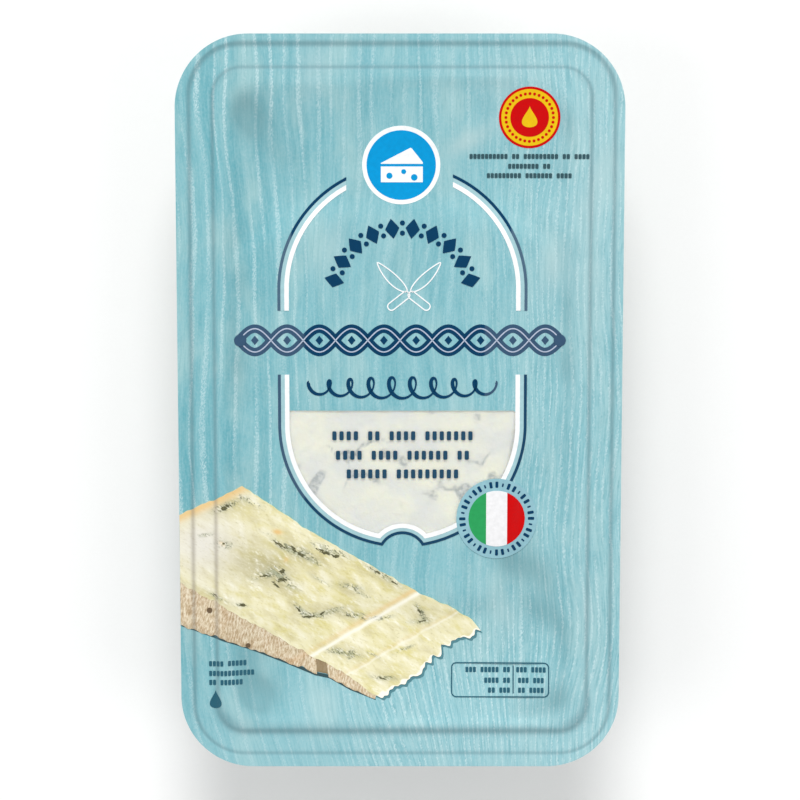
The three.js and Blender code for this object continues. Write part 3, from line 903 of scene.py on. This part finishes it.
def picture_rind():
    """The printed picture's rind: pinkish tan, ribbed across its thickness every half millimetre,
    with pores, warm along its top and browner along its foot."""
    material, tree = new_material("gravure_picture_of_rind")
    foot = add(tree, "Attribute", output="Fac", attribute_name="foot")
    glow = add(tree, "Attribute", output="Fac", attribute_name="tan")
    ribs = in_millimetres(tree, (0.42, 1.3, 1), 0.15)
    ribs = add(tree, "TexNoise", {"Vector": ribs, "Scale": 1.0, "Detail": 4.0, "Roughness": 0.7})
    pale_ribs = add(tree, "MapRange", {0: ribs, 1: 0.45, 2: 0.62})
    deep_ribs = add(tree, "MapRange", {0: ribs, 1: 0.46, 2: 0.34, 4: 0.6})
    patch = add(tree, "TexNoise", {"Vector": in_millimetres(tree, (2.5, 3, 4)), "Scale": 1.0})
    patch = add(tree, "MapRange", {0: patch, 1: 0.4, 2: 0.7, 4: 0.6})
    layers = [(patch, "#D3C4A3"), (pale_ribs, "#EBDFC6"), (glow, "#DDAC78"), (deep_ribs, "#937C5D"),
              (foot, "#8E7A5B")]
    # The warm grey is the painted shade along the seal lines over the picture.
    film_finish(tree, layered(tree, linear("#C6AD8B"), layers), crease_shade_hex="#8D8478")
    return material


def vein_field(x, y, z, seed):
    """Mould along cracks: bright where a wave sum crosses zero, kept to patches set by a second, and
    round pockets where a third runs high."""
    crack = bell(ripple(x, y, z, 15, seed) + 0.3 * ripple(x, y, z, 4, seed + 3), 0.2)
    patch = smooth((ripple(x, y, z, 22, seed + 1) + 0.2) / 1.2)
    spots = smooth((ripple(x, y, z, 6, seed + 2) - 1.3) / 0.7)
    return np.clip(0.9 * crack * patch + 0.8 * spots, 0, 1)


def make_tray(material):
    """One profile carried round rounded rectangles: the flange with its channel, a quarter-round
    lip, a drafted wall, a quarter-round fillet and the base, then back outside at one wall off."""
    flange = np.linspace(0, LEDGE_END, 64)
    turn = np.linspace(0, math.pi / 2, 9)[1:]
    lip_inset = LEDGE_END + LIP_RADIUS * np.sin(turn)
    lip_height = FLANGE_HEIGHT - LIP_RADIUS * (1 - np.cos(turn))
    wall_share = np.linspace(0, 1, 14)[1:-1]
    wall_inset = lip_inset[-1] + (WALL_FOOT_INSET - lip_inset[-1]) * wall_share
    foot_height = TRAY_WALL + BASE_FILLET
    wall_height = lip_height[-1] + (foot_height - lip_height[-1]) * wall_share
    fillet_inset = WALL_FOOT_INSET + BASE_FILLET * (1 - np.cos(np.append(0, turn)))
    fillet_height = foot_height - BASE_FILLET * np.sin(np.append(0, turn))
    inset = np.concatenate([flange, lip_inset, wall_inset, fillet_inset])
    height = np.concatenate([np.full(len(flange), FLANGE_HEIGHT), lip_height, wall_height, fillet_height])
    radius = np.interp(inset, RADIUS_INSETS, RADIUS_VALUES)
    di, dh = np.gradient(inset), np.gradient(height)
    size = np.hypot(di, dh)
    out_inset = inset + TRAY_WALL * dh / size
    out_height = height - TRAY_WALL * di / size
    out_inset[0] = 0
    out_radius = radius - (out_inset - inset)

    def ring(i, h, r):
        x, y = rounded_ring(i, r, TRAY_POINTS_AROUND)
        return np.stack([x, y, h + flange_relief(x, y) * smooth((LEDGE_END - i) * 4)], -1)

    inside = [ring(*station) for station in zip(inset, height, radius)]
    outside = [ring(*station) for station in zip(out_inset, out_height, out_radius)]
    rings = np.array(inside[::-1] + outside)
    tray = closed_rings("formed_tray", rings, [material])
    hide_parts("tray")
    return on_pack(tray)


def make_cheese(material):
    """The outline as a radius at each angle, carried from the middle of the top over a rounded
    edge, down the side and in underneath, with crumbly relief and cracks along the mould."""
    angle = turns_round(CHEESE_POINTS_AROUND)
    edge = CHEESE_EDGE_ROUNDING
    turn = np.linspace(0, math.pi / 2, 7)
    top_share = np.linspace(0, 1, 71)[1:-1]
    base_share = top_share[::-2]
    side = np.linspace(CHEESE_TOP - edge, CHEESE_BOTTOM + edge, 40)[1:-1]
    share = np.concatenate([top_share, np.ones(7 + len(side) + 7), base_share])
    inset = np.concatenate([np.full(len(top_share), edge), edge * (1 - np.sin(turn)), np.zeros(len(side)),
                            edge * (1 - np.cos(turn)), np.full(len(base_share), edge)])
    height = np.concatenate([np.full(len(top_share), CHEESE_TOP), CHEESE_TOP - edge * (1 - np.cos(turn)),
                             side, CHEESE_BOTTOM + edge * (1 - np.sin(turn)),
                             np.full(len(base_share), CHEESE_BOTTOM)])
    r = share[:, None] * (cheese_reach(angle)[None, :] - inset[:, None])
    x, y = r * np.cos(angle), r * np.sin(angle)
    z = np.broadcast_to(height[:, None], x.shape).copy()
    on_top = smooth((z - CHEESE_TOP + 1.5) / 1.5)
    on_side = smooth((z - CHEESE_BOTTOM) / 1.5) * (1 - on_top)
    veins = vein_field(x, y, z, 41) * (1 - 0.35 * on_top)
    depth = RIND_RADIUS - np.hypot(x, y - (RIND_Y - RIND_RADIUS))
    rind = 1 - smooth((depth - RIND_THICKNESS - 0.5 * ripple(x, y, z, 5, 9)) / 0.8)
    craggy = LUMP_HEIGHT * ripple(x, y, z, 8, 3) + CRUMB_HEIGHT * ripple(x, y, z, 2.5, 4)
    craggy = craggy - CRACK_DEPTH * veins * (1 - rind)
    z += on_top * (0.4 * craggy - 0.12)
    push = 1 + on_side * (1.6 * craggy - 0.3) / np.maximum(r, 1)
    rings = np.stack([x * push, y * push, z], -1)
    attributes = {"veins": veins.ravel(), "rind": rind.ravel()}
    cheese = closed_rings("cheese_slab", rings, [material], attributes=attributes)
    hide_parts("cheese")
    return on_pack(cheese)


def window_reach(angle):
    """The clear window's radius at an angle from its own middle: a level top, the capsule's round
    end, and the notch, whose circle is met from outside."""
    top = (WINDOW_TOP - WINDOW_MIDDLE) / np.maximum(np.sin(angle), 1e-6)
    up = CAPSULE_BOTTOM - WINDOW_MIDDLE
    along = up * np.sin(angle)
    round_end = along + np.sqrt(along ** 2 + WHITE_RADIUS ** 2 - up ** 2)
    down = NOTCH_Y - WINDOW_MIDDLE
    into = down * np.sin(angle)
    inside = into ** 2 - down ** 2 + WHITE_NOTCH ** 2
    notch = np.where(inside > 0, into - np.sqrt(np.maximum(inside, 0)), 1e6)
    return np.minimum(np.minimum(top, round_end), np.where(np.sin(angle) < 0, notch, 1e6))


def film_slab(x, y):
    """Rings over a patch of film, out along its face and back along its inner side."""
    face = film_height(x, y)
    top = np.stack([x, y, face], -1)
    bottom = np.stack([x, y, face - FILM_THICKNESS], -1)
    return np.concatenate([top, bottom[::-1]])


def across_grain(x, y):
    """How far across the printed grain a point lies: its x, less what the grain leans, which is a
    step to the right down the left side, one to the left beside the badge, and a fan at the foot,
    and two slow waves."""
    lean = ramp(y, 78, -26, 2.4) * ramp(x, -16, -14)
    lean -= ramp(y, 72, -42, 3.2) * bell(x + 9, 11)
    fan = 0.0028 * np.clip(-42 - y, 0, None) ** 2 * ramp(x, 44, -46)
    bow = ramp(y, -52, -26, 2.5) * ramp(x, 22, 20)
    wander = 0.5 * ripple(x, 0.6 * y, 0 * x, 30, 11) + 0.16 * ripple(x, 0.35 * y, 0 * x, 8, 12)
    return x - lean - fan + bow + wander


def wood_fields(x, y):
    """What the wood print reads at each point of the film, as sums of ramps along and across it:
    bold streaks to the left and the top, hairs to the right and the foot, paler boards at the ends
    and upper right, the paler foot partly painted light, the wisps, partly painted highlights, and
    the painted shade of the creases and dents."""
    foot = ramp(y, -40, -30)
    bold = 0.42 + ramp(x, -18, -12, 0.44) * (1 - 0.5 * foot) + ramp(y, 55, 25, 0.25) - ramp(x, 20, 20, 0.2)
    hairy = 0.1 + ramp(x, 10, 30, 0.7) + 0.85 * foot * ramp(x, -30, 30)
    # Paler towards the foot: partly the print's own tone, partly painted light that lifts the dimmer foot.
    paler = 0.16 + 0.0035 * x + ramp(x, 25, 25, 0.2) * ramp(y, 10, 40) + ramp(y, -58, -18, 0.28)
    paler += ramp(y, -76, -8, 0.12) + ramp(y, 78, 8, 0.08)
    # The wisps are pale patches, partly painted highlights where the film is stretched.
    wisps_and_sheen = patches(x, y, WISPS_AND_SHEEN) * (1 + 0.3 * ripple(x, 0.5 * y, 0 * x, 9, 14))
    # Painted shade: the print darkens in the film's dents.
    dent_shading = 1.5 * dents(x, y) * ramp(inset_of(x, y), LEDGE_END, 4)
    return {"grain": across_grain(x, y), "bold": np.clip(0.9 * bold, 0, 1), "hairy": np.clip(hairy, 0, 1),
            "paler": np.clip(paler, 0, 1), "wisp_sheen": np.clip(wisps_and_sheen, 0, 1), "crease": creases(x, y),
            "dent_shade": np.clip(dent_shading, 0, 0.6)}


def make_film(print_material, backing_material, clear_material):
    """The printed film runs in rings from the window's edge to the flange's cut edge, and the clear
    window fills the rest. Both follow the film's height."""
    insets = [np.linspace(1.1, 4.7, 19), [5.2, 5.8, 6.4], np.linspace(6.8, 10.4, 19)]
    insets = np.concatenate([[0, 0.6], *insets])
    radii = np.interp(insets, RADIUS_INSETS, RADIUS_VALUES)
    flange = [rounded_ring(i, r, FILM_POINTS_AROUND) for i, r in zip(insets, radii)]
    fx, fy = np.array([p[0] for p in flange]), np.array([p[1] for p in flange])
    bearing = np.arctan2(fy[-1] - WINDOW_MIDDLE, fx[-1] - PRINT_AXIS)
    reach = window_reach(bearing)
    wx, wy = PRINT_AXIS + reach * np.cos(bearing), WINDOW_MIDDLE + reach * np.sin(bearing)
    px, py = between((wx, wy), (fx[-1], fy[-1]), 64)
    x, y = np.vstack([px[:-1], fx[::-1]]), np.vstack([py[:-1], fy[::-1]])
    rings = film_slab(x, y)
    on_face = np.arange(len(rings)) < len(x) - 1
    face_materials = np.repeat(np.where(on_face, 0, 1), FILM_POINTS_AROUND)
    attributes = {key: np.concatenate([v.ravel(), v[::-1].ravel()]) for key, v in wood_fields(x, y).items()}
    printed = closed_rings("printed_film", rings, [print_material, backing_material], False, face_materials,
                           attributes)
    share = np.linspace(0, 1, 60)[1:, None]
    sx, sy = PRINT_AXIS + share * (wx - PRINT_AXIS), WINDOW_MIDDLE + share * (wy - WINDOW_MIDDLE)
    clear = closed_rings("film_window", film_slab(sx, sy), [clear_material])
    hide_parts("film")
    on_pack(printed)
    return on_pack(clear)


def capsule_side(radius, left):
    """One edge of an upper band: an arc from the opening down to the side, then straight down."""
    opening = CAPSULE_OPENINGS[0] if left else CAPSULE_OPENINGS[1]
    start = math.degrees(math.acos(opening / radius))
    ax, ay = arc(PRINT_AXIS, CAPSULE_TOP, radius, 180 - start if left else start, 180 if left else 0, 100)
    down = np.linspace(CAPSULE_TOP - 0.4, CAPSULE_BREAK[0], 12)
    return np.append(ax, np.full(12, ax[-1])), np.append(ay, down)


def capsule_foot(radius, notch):
    """One edge of the lower band: down a side, round the bottom, over the notch from where the two
    circles meet, round again and up the other side."""
    gap = CAPSULE_BOTTOM - NOTCH_Y
    meet = (gap ** 2 + notch ** 2 - radius ** 2) / (2 * gap)
    lean = math.degrees(math.asin(meet / notch))
    foot = math.degrees(math.asin((gap - meet) / radius))
    down = np.linspace(CAPSULE_BREAK[1], CAPSULE_BOTTOM + 0.4, 20)
    lx, ly = arc(PRINT_AXIS, CAPSULE_BOTTOM, radius, 180, 180 + foot, 120)
    nx, ny = arc(PRINT_AXIS, NOTCH_Y, notch, 180 - lean, lean, 60)
    rx, ry = arc(PRINT_AXIS, CAPSULE_BOTTOM, radius, -foot, 0, 120)
    px = np.concatenate([np.full(20, lx[0]), lx, nx[1:-1], rx, np.full(20, rx[-1])])
    return px, np.concatenate([down, ly, ny[1:-1], ry, down[::-1]])


def make_capsule(inks):
    """The print's frame: a navy line, a pale blue gap and a white line, one inside the other, each
    as two upper bands and a lower one."""
    for name, radius, notch, width, level, upper_ink, lower_ink in FRAME_LINES:
        half = width / 2
        for side in ("left", "right"):
            edges = [capsule_side(radius + offset, side == "left") for offset in (half, -half)]
            laid(f"frame_{name}_upper_{side}", between(*edges, 4), level, inks[upper_ink])
        edges = [capsule_foot(radius + offset, notch - offset) for offset in (half, -half)]
        laid(f"frame_{name}_lower", between(*edges, 4), level, inks[lower_ink])


def lines_of_marks(lines, place, pitch, side=0):
    """Centres for lines of small marks, each line a y and the lengths of its runs, with one pitch
    between runs. A line is centred on the place, starts there (side 1) or ends there (side -1)."""
    centres = []
    for y, runs in lines:
        slots = np.concatenate([np.append(np.ones(n), 0) for n in runs])[:-1]
        middle = place + side * ((len(slots) - 1) / 2 * pitch)
        x = (np.arange(len(slots)) - (len(slots) - 1) / 2) * pitch + middle
        centres += [(value, y) for value, used in zip(x, slots) if used]
    return centres


def make_medallion(inks):
    """A round blue badge with a white rim and a plain wedge of cheese: a sloping top over a front
    with three holes."""
    cx, cy = MEDALLION
    laid("medallion_rim", disc(cx, cy, MEDALLION_RADIUS), 1, inks["white"])
    laid("medallion_field", disc(cx, cy, MEDALLION_RADIUS - MEDALLION_RIM), 2, inks["bright_blue"])
    left, right = cx + WEDGE_TOP[0][0], cx + WEDGE_TOP[-1][0]
    foot = cy + WEDGE_TOP_FOOT
    top = between(polyline([(cx + x, cy + y) for x, y in WEDGE_TOP], 31),
                  polyline([(left, foot), (right, foot)], 31), 10)
    laid("medallion_wedge_top", top, 3, inks["white"])
    front = between(*[polyline([(left, cy + y), (right, cy + y)], 21) for y in WEDGE_FRONT], 10)
    laid("medallion_wedge_front", front, 3, inks["white"])
    holes = [(cx + x, cy + y) for x, y, _ in WEDGE_HOLES]
    stamped("medallion_wedge_holes", holes, circle(1, 20), 4, inks["bright_blue"],
            sizes=[radius for _, _, radius in WEDGE_HOLES])


def make_arch_marks(inks):
    """Navy lozenges with hollowed sides in an arc, and two dots between each pair."""
    waves = circle(1, 32)
    hollowed = [half * np.sign(wave) * np.abs(wave) ** LOZENGE_HOLLOWING
                for half, wave in zip(LOZENGE_HALF, waves)]
    angles = np.radians(np.linspace(*ARCH_ANGLES, ARCH_COUNT))
    centres = on_ring(ARCH_MIDDLE, ARCH_RADIUS, angles)
    stamped("arch_lozenges", centres, hollowed, 2, inks["deep_navy"], turns=angles - math.pi / 2)
    middles = (angles[1:] + angles[:-1]) / 2
    for ring, offset in (("outer", ARCH_DOT_OFFSET), ("inner", -ARCH_DOT_OFFSET)):
        dots = on_ring(ARCH_MIDDLE, ARCH_RADIUS + offset, middles)
        stamped(f"arch_dots_{ring}", dots, circle(ARCH_DOT_RADIUS, 16), 2, inks["deep_navy"])


def make_knives(inks):
    """Two crossed cheese knives in thin white line: a leaf-shaped blade on a bent spine and a round
    ended handle, turned one way and mirrored."""
    t = np.linspace(0, 1, 40)
    half = BLADE_HALF_WIDTH * np.sin(math.pi * t ** 0.8) ** 0.7
    spine = BLADE_BEND * t ** 2
    along = BLADE_START + BLADE_LENGTH * t
    blade = (np.concatenate([along, along[-2:0:-1]]), np.concatenate([spine + half, (spine - half)[-2:0:-1]]))
    hx, hy = rounded_outline(*HANDLE_HALF, HANDLE_CORNER, 8)
    handle = (hx - HANDLE_HALF[0], hy)
    cos, sin = math.cos(KNIFE_LEAN), math.sin(KNIFE_LEAN)
    for side, mirror in (("right", 1), ("left", -1)):
        for part, (ux, uy) in (("blade", blade), ("handle", handle)):
            x = KNIVES_MIDDLE[0] + mirror * (ux * cos - uy * sin)
            y = KNIVES_MIDDLE[1] + ux * sin + uy * cos
            laid(f"knife_{side}_{part}", ribbon(x, y, THIN_LINE, 2, True), 2, inks["white"], True)


def make_braid(inks):
    """The wide navy band: two sine strands half a turn apart with a pale line along each, and a
    lozenge in every eye."""
    t = np.linspace(-1, 1, 400)
    x = BRAID_HALF_LENGTH * t
    for strand, sign in (("over", 1), ("under", -1)):
        y = BRAID_Y + sign * BRAID_HALF_HEIGHT * np.sin(math.pi * BRAID_EYES / 2 * (t + 1))
        laid(f"braid_{strand}", ribbon(x, y, BRAID_STRAND), 1, inks["navy"])
        laid(f"braid_{strand}_line", ribbon(x[4:-4], y[4:-4], THIN_LINE, 2), 2, inks["lilac"])
    centres = BRAID_HALF_LENGTH * (2 * (np.arange(BRAID_EYES) + 0.5) / BRAID_EYES - 1)
    centres = np.stack([centres, np.full(BRAID_EYES, BRAID_Y)], -1)
    lozenge = np.array([[1, 0, -1, 0], [0, 1, 0, -1]]) * np.array(BRAID_LOZENGE_HALF)[:, None]
    stamped("braid_eyes", centres, lozenge, 1, inks["navy"])
    tip = BRAID_HALF_LENGTH - BRAID_TIP_INSET
    stamped("braid_tips", [(-tip, BRAID_Y), (tip, BRAID_Y)], circle(BRAID_TIP_RADIUS, 24), 3, inks["navy"])


def make_flourish(inks):
    """A pen stroke of curls: a circle rolled along a line, swelling in the middle, thick on the way
    down and thin on the way up."""
    t = np.linspace(0, 1, 700)
    swell = 0.55 + 0.45 * np.sin(math.pi * t)
    roll = 2 * math.pi * FLOURISH_CURLS * t
    x = PRINT_AXIS + FLOURISH_HALF_LENGTH * (2 * t - 1) - CURL_HALF[0] * swell * np.sin(roll)
    y = FLOURISH_Y + CURL_HALF[1] * swell * np.cos(roll)
    width = 0.7 + 0.3 * np.sin(roll) * swell
    laid("flourish", ribbon(x, y, width, 3), 2, inks["navy"])


def make_window_lines(inks):
    """Three centred lines of navy bars across the window."""
    centres = lines_of_marks(WINDOW_LINES, PRINT_AXIS, WINDOW_PITCH)
    stamped("window_lines", centres, rounded_outline(*WINDOW_BAR, 4), 2, inks["window_navy"])


def make_roundel(inks):
    """A three-coloured disc in a pale ring with navy beads. Each stripe lies between the two halves
    of the disc's edge."""
    cx, cy = ROUNDEL
    laid("roundel_ring", disc(cx, cy, ROUNDEL_RADIUS), 3, inks["pale_blue"])
    for start, end, colour in zip(FLAG_STRIPES[:-1], FLAG_STRIPES[1:], ("green", "soft_white", "red")):
        x = np.linspace(start, end, 30)
        half = np.sqrt(np.maximum(FLAG_RADIUS ** 2 - x ** 2, 0.02))
        laid(f"roundel_{colour}", between((cx + x, cy + half), (cx + x, cy - half), 30), 4, inks[colour])
    angles = turns_round(BEAD_COUNT)
    stamped("roundel_beads", on_ring(ROUNDEL, BEAD_RING_RADIUS, angles), rounded_outline(*BEAD, 3), 4,
            inks["deep_navy"], turns=angles - math.pi / 2, sizes=np.tile([1, 1, 0.55], BEAD_COUNT // 3))


def make_badge(inks):
    """A plain round badge, red and yellow in rings, with a ring of dots and a yellow drop, and three
    centred lines of blocks under it."""
    for level, (part, radius, colour) in enumerate(BADGE_RINGS, 1):
        laid(f"badge_{part}", disc(*BADGE, radius), level, inks[colour])
    dots = on_ring(BADGE, BADGE_DOT_RING, turns_round(BADGE_DOT_COUNT))
    stamped("badge_dots", dots, circle(BADGE_DOT_RADIUS, 12), 3, inks["red"])
    drop_x, drop_y = drop_outline(*BADGE_DROP_HALF, 40)
    stamped("badge_drop", [BADGE], (drop_x, drop_y + BADGE_DROP_LIFT), 4, inks["yellow"])
    centres = lines_of_marks(BADGE_LINES, BADGE[0], SMALL_PITCH)
    stamped("badge_lines", centres, rounded_outline(*BADGE_BLOCK, 2), 2, inks["charcoal"])


def make_small_print(inks):
    """Lower left: three short lines of blocks and a drop. Lower right: a ruled box with a divider,
    and lines of blocks that end before it and are centred after it."""
    right_middle = (TABLE_DIVIDER_X + TABLE_MIDDLE[0] + TABLE_HALF[0]) / 2
    centres = lines_of_marks(SMALL_PRINT_LINES, SMALL_PRINT_LEFT, SMALL_PITCH, 1)
    centres += lines_of_marks(TABLE_LEFT, TABLE_DIVIDER_X - TABLE_MARGIN, SMALL_PITCH, -1)
    centres += lines_of_marks(TABLE_RIGHT, right_middle, SMALL_PITCH)
    stamped("small_lines", centres, rounded_outline(*SMALL_BLOCK, 2), 2, inks["small_navy"])
    stamped("small_mark", [SMALL_MARK], drop_outline(*SMALL_MARK_HALF, 32), 2, inks["small_navy"])
    bx, by = rounded_outline(*TABLE_HALF, TABLE_CORNER, 10)
    box = ribbon(TABLE_MIDDLE[0] + bx, TABLE_MIDDLE[1] + by, TABLE_RULE, 2, True)
    laid("table_outline", box, 2, inks["small_navy"], True)
    divider = polyline([(TABLE_DIVIDER_X, y) for y in TABLE_DIVIDER_ENDS], 12)
    laid("table_divider", ribbon(*divider, TABLE_RULE, 2), 2, inks["small_navy"])


def beside(x, y, start, end):
    """How far a point lies to the left of the line from start to end."""
    along = np.subtract(end, start) / math.dist(start, end)
    return along[0] * (y - start[1]) - along[1] * (x - start[0])


def shifted(points, dx, dy):
    """Points, each moved by the same step."""
    return [(x + dx, y + dy) for x, y in points]


def picture_fields(x, y):
    """What the picture's inks read at each point: patches of mould, pits and dusk, tan and pale
    bands along its back edge and its two ridges, and a milky patch at its left."""
    above = beside(x, y, PICTURE_BASE[2], PICTURE_TOP[3]) + 0.07 * ripple(x, y, 0 * x, 5, 77)
    second = beside(x, y, SECOND_RIDGE[1], SECOND_RIDGE[0]) + 0.1 * ripple(x, y, 0 * x, 4, 78)
    edge = -beside(x, y, PICTURE_TOP[0], PICTURE_TOP[1])
    reach = np.clip((x - PICTURE_BASE[2][0]) / (PICTURE_TOP[3][0] - PICTURE_BASE[2][0]), 0, 1)
    tan = 0.62 * bell(above - 1.1, 0.75) * (0.4 + 0.6 * reach) + patches(x, y, TAN_SPOTS)
    tan += 0.85 * bell(edge - 0.4, 1.3) * ramp(x, -31, -10) + 0.15 * bell(second - 0.7, 0.5)
    pale = 0.9 * bell(above + 0.1, 0.55) + 0.45 * bell(second, 0.35)
    milky = bell(x - MILKY_MIDDLE[0], MILKY_HALF[0]) * bell(y - MILKY_MIDDLE[1], MILKY_HALF[1])
    return {"mould": patches(x, y, MOULD), "pit": 1.3 * patches(x, y, PITS), "dusk": patches(x, y, DUSK),
            "tan": tan, "pale": pale, "milky": 0.95 * milky + 0.05}


def picture_field(name, edge_a, edge_b, columns, rows, level, material, end=None, tears=0.0, shade=0.0):
    """One face of the pictured wedge, between two of its edges, the lower one a little rough. An
    end curve, where given, pulls the last columns to itself, and scallops and short waves tear it.
    Its foot is darker, and a shade darkens all of it."""
    x, y = between(polyline(edge_a, columns), polyline(edge_b, columns), rows)
    share = np.linspace(0, 1, columns)[None, :]
    down = np.broadcast_to(np.linspace(0, 1, rows)[:, None], x.shape)
    rough = 0.12 * ripple(x, 0 * x, 0 * x, 1.6, 73) + 0.1 * ripple(x, 0 * x, 0 * x, 4, 74)
    y = y + (smooth(4 * down - 3) - 0.6 * smooth(1 - 8 * down)) * rough
    length = TORN_LENGTH * down
    if end:
        ex, ey = polyline(end, rows)
        pull = share ** 5
        x, y = x + pull * (ex[:, None] - x[:, -1:]), y + pull * (ey[:, None] - y[:, -1:])
        bumps = np.abs(np.sin(length * math.pi / SCALLOP_LENGTH + 0.9 * ripple(length, 0 * x, 0 * x, 8, 75)))
        uneven = 0.85 + 0.35 * ripple(length, 0 * x, 0 * x, 6, 80)
        teeth = uneven * bumps - 0.6 + 0.26 * ripple(length, 0 * x, 0 * x, 1.7, 76)
        x, y = x + 0.6 * tears * share ** 16 * teeth, y - 0.9 * tears * share ** 16 * teeth
    fields = picture_fields(x, y)
    fields["foot"] = shade + ramp(down, 0.85, 0.15, 0.3)
    if end:
        fields["pale"] += smooth((share - 0.958 + 0.012 * ripple(length, 0 * x, 0 * x, 2.4, 79)) / 0.02)
    attributes = {key: np.clip(values, 0, 1) for key, values in fields.items()}
    laid(name, (x, y), level, material, attributes=attributes)


def make_picture(inks):
    """The pictured wedge: its cut face, a slice that leans from it, the rind below both, the step
    between them, and a shadow under the rind and beyond the torn end."""
    paste, rind = picture_paste(), picture_rind()
    foot = [*PICTURE_FOOT, *SLICE_FOOT]
    shadow = between(polyline(shifted(foot, 0, 0.5), 120), polyline(shifted(foot, 0.2, -0.4), 120), 4)
    laid("picture_shadow_foot", shadow, 1, inks["deep_shadow"])
    picture_field("picture_shadow_end", SLICE_TOP, SLICE_BASE, 60, 150, 1, inks["shadow"],
                  shifted(SLICE_END, 0.5, -0.65), 1.0)
    picture_field("picture_step", shifted(SLICE_BASE[:2], 0, 0.6),
                  shifted([PICTURE_FOOT[2], SLICE_FOOT[0]], 0, 0.7), 40, 30, 2, rind, shade=0.85)
    picture_field("picture_rind", shifted([*PICTURE_BASE[:2], RIND_END[0]], 0, 0.8),
                  [*PICTURE_FOOT[:2], RIND_END[1]], 260, 40, 3, rind)
    picture_field("picture_slice_rind", shifted(SLICE_BASE[1:], 0, 0.8), SLICE_FOOT, 110, 16, 3, rind)
    picture_field("picture_slice", SLICE_TOP, SLICE_BASE, 190, 150, 4, paste, SLICE_END, 1.0)
    picture_field("picture_paste", PICTURE_TOP, PICTURE_BASE, 380, 120, 4, paste)
    holes = [(x, y) for x, y, _ in PICTURE_HOLES]
    stamped("picture_rind_holes", holes, circle(1, 14), 5, inks["hole_brown"],
            sizes=[radius for _, _, radius in PICTURE_HOLES])


def make_camera():
    """The photograph's camera, over the pack and tipped a little."""
    data = bpy.data.cameras.new("photo_camera")
    data.sensor_width = SENSOR_WIDTH
    data.lens = LENS
    data.clip_start = 0.01
    camera = bpy.data.objects.new("photo_camera", data)
    camera.location = (0, CAMERA_Y * MM, (FLANGE_HEIGHT + CAMERA_ABOVE_FLANGE) * MM)
    camera.rotation_euler = (CAMERA_TILT, 0, 0)
    bpy.context.scene.collection.objects.link(camera)
    bpy.context.scene.camera = camera


def make_studio():
    """A pale floor, a pale surround and broad soft lamps, the main one past the pack's top end."""
    material, tree = new_material("matte_white_paper")
    fibres = add(tree, "TexNoise", {"Vector": in_millimetres(tree, (0.8, 0.8, 0.8)), "Scale": 1.0})
    colour = layered(tree, linear("#FAFAF9"), [(fibres, "#FDFDFC")])
    surfaced(tree, add(tree, "BsdfPrincipled", {"Base Color": colour, "Roughness": 0.9}))
    points = np.stack([*circle(FLOOR_RADIUS, 96), np.full(96, FLOOR_HEIGHT)], -1)
    floor = mesh_object("floor", points, [np.arange(96)[None, :]], [material])
    world = bpy.data.worlds.new("surround")
    bpy.context.scene.world = world
    world.use_nodes = True
    world.node_tree.nodes["Background"].inputs["Color"].default_value = linear("#F4F6F7")
    world.node_tree.nodes["Background"].inputs["Strength"].default_value = 0.5
    for name, (place, size, power) in LAMPS.items():
        data = bpy.data.lights.new(name, "AREA")
        data.shape = "DISK"
        data.size = size
        data.energy = power
        lamp = bpy.data.objects.new(name, data)
        lamp.location = [c * MM for c in place]
        aim = Vector((0, 0, 0)) - lamp.location
        lamp.rotation_euler = aim.to_track_quat("-Z", "Y").to_euler()
        bpy.context.scene.collection.objects.link(lamp)
    bpy.context.scene.view_settings.view_transform = "Standard"


def main():
    make_camera()
    make_studio()
    inks = {name: ink(name, *values) for name, values in INKS.items()}
    make_tray(clear_sheet("thermoformed_clear_PET", "#F6F9F9", "#F4F8F8", 0.03, 0.12))
    make_cheese(blue_cheese())
    window = clear_sheet("unprinted_clear_laminate", "#FCFDFC", "#F6F5F2", 0.07, 0.2)
    make_film(gravure_wood_print(), white_backing(), window)
    for make in (make_capsule, make_medallion, make_arch_marks, make_knives, make_braid, make_flourish,
                 make_window_lines, make_roundel, make_badge, make_small_print, make_picture):
        make(inks)


main()
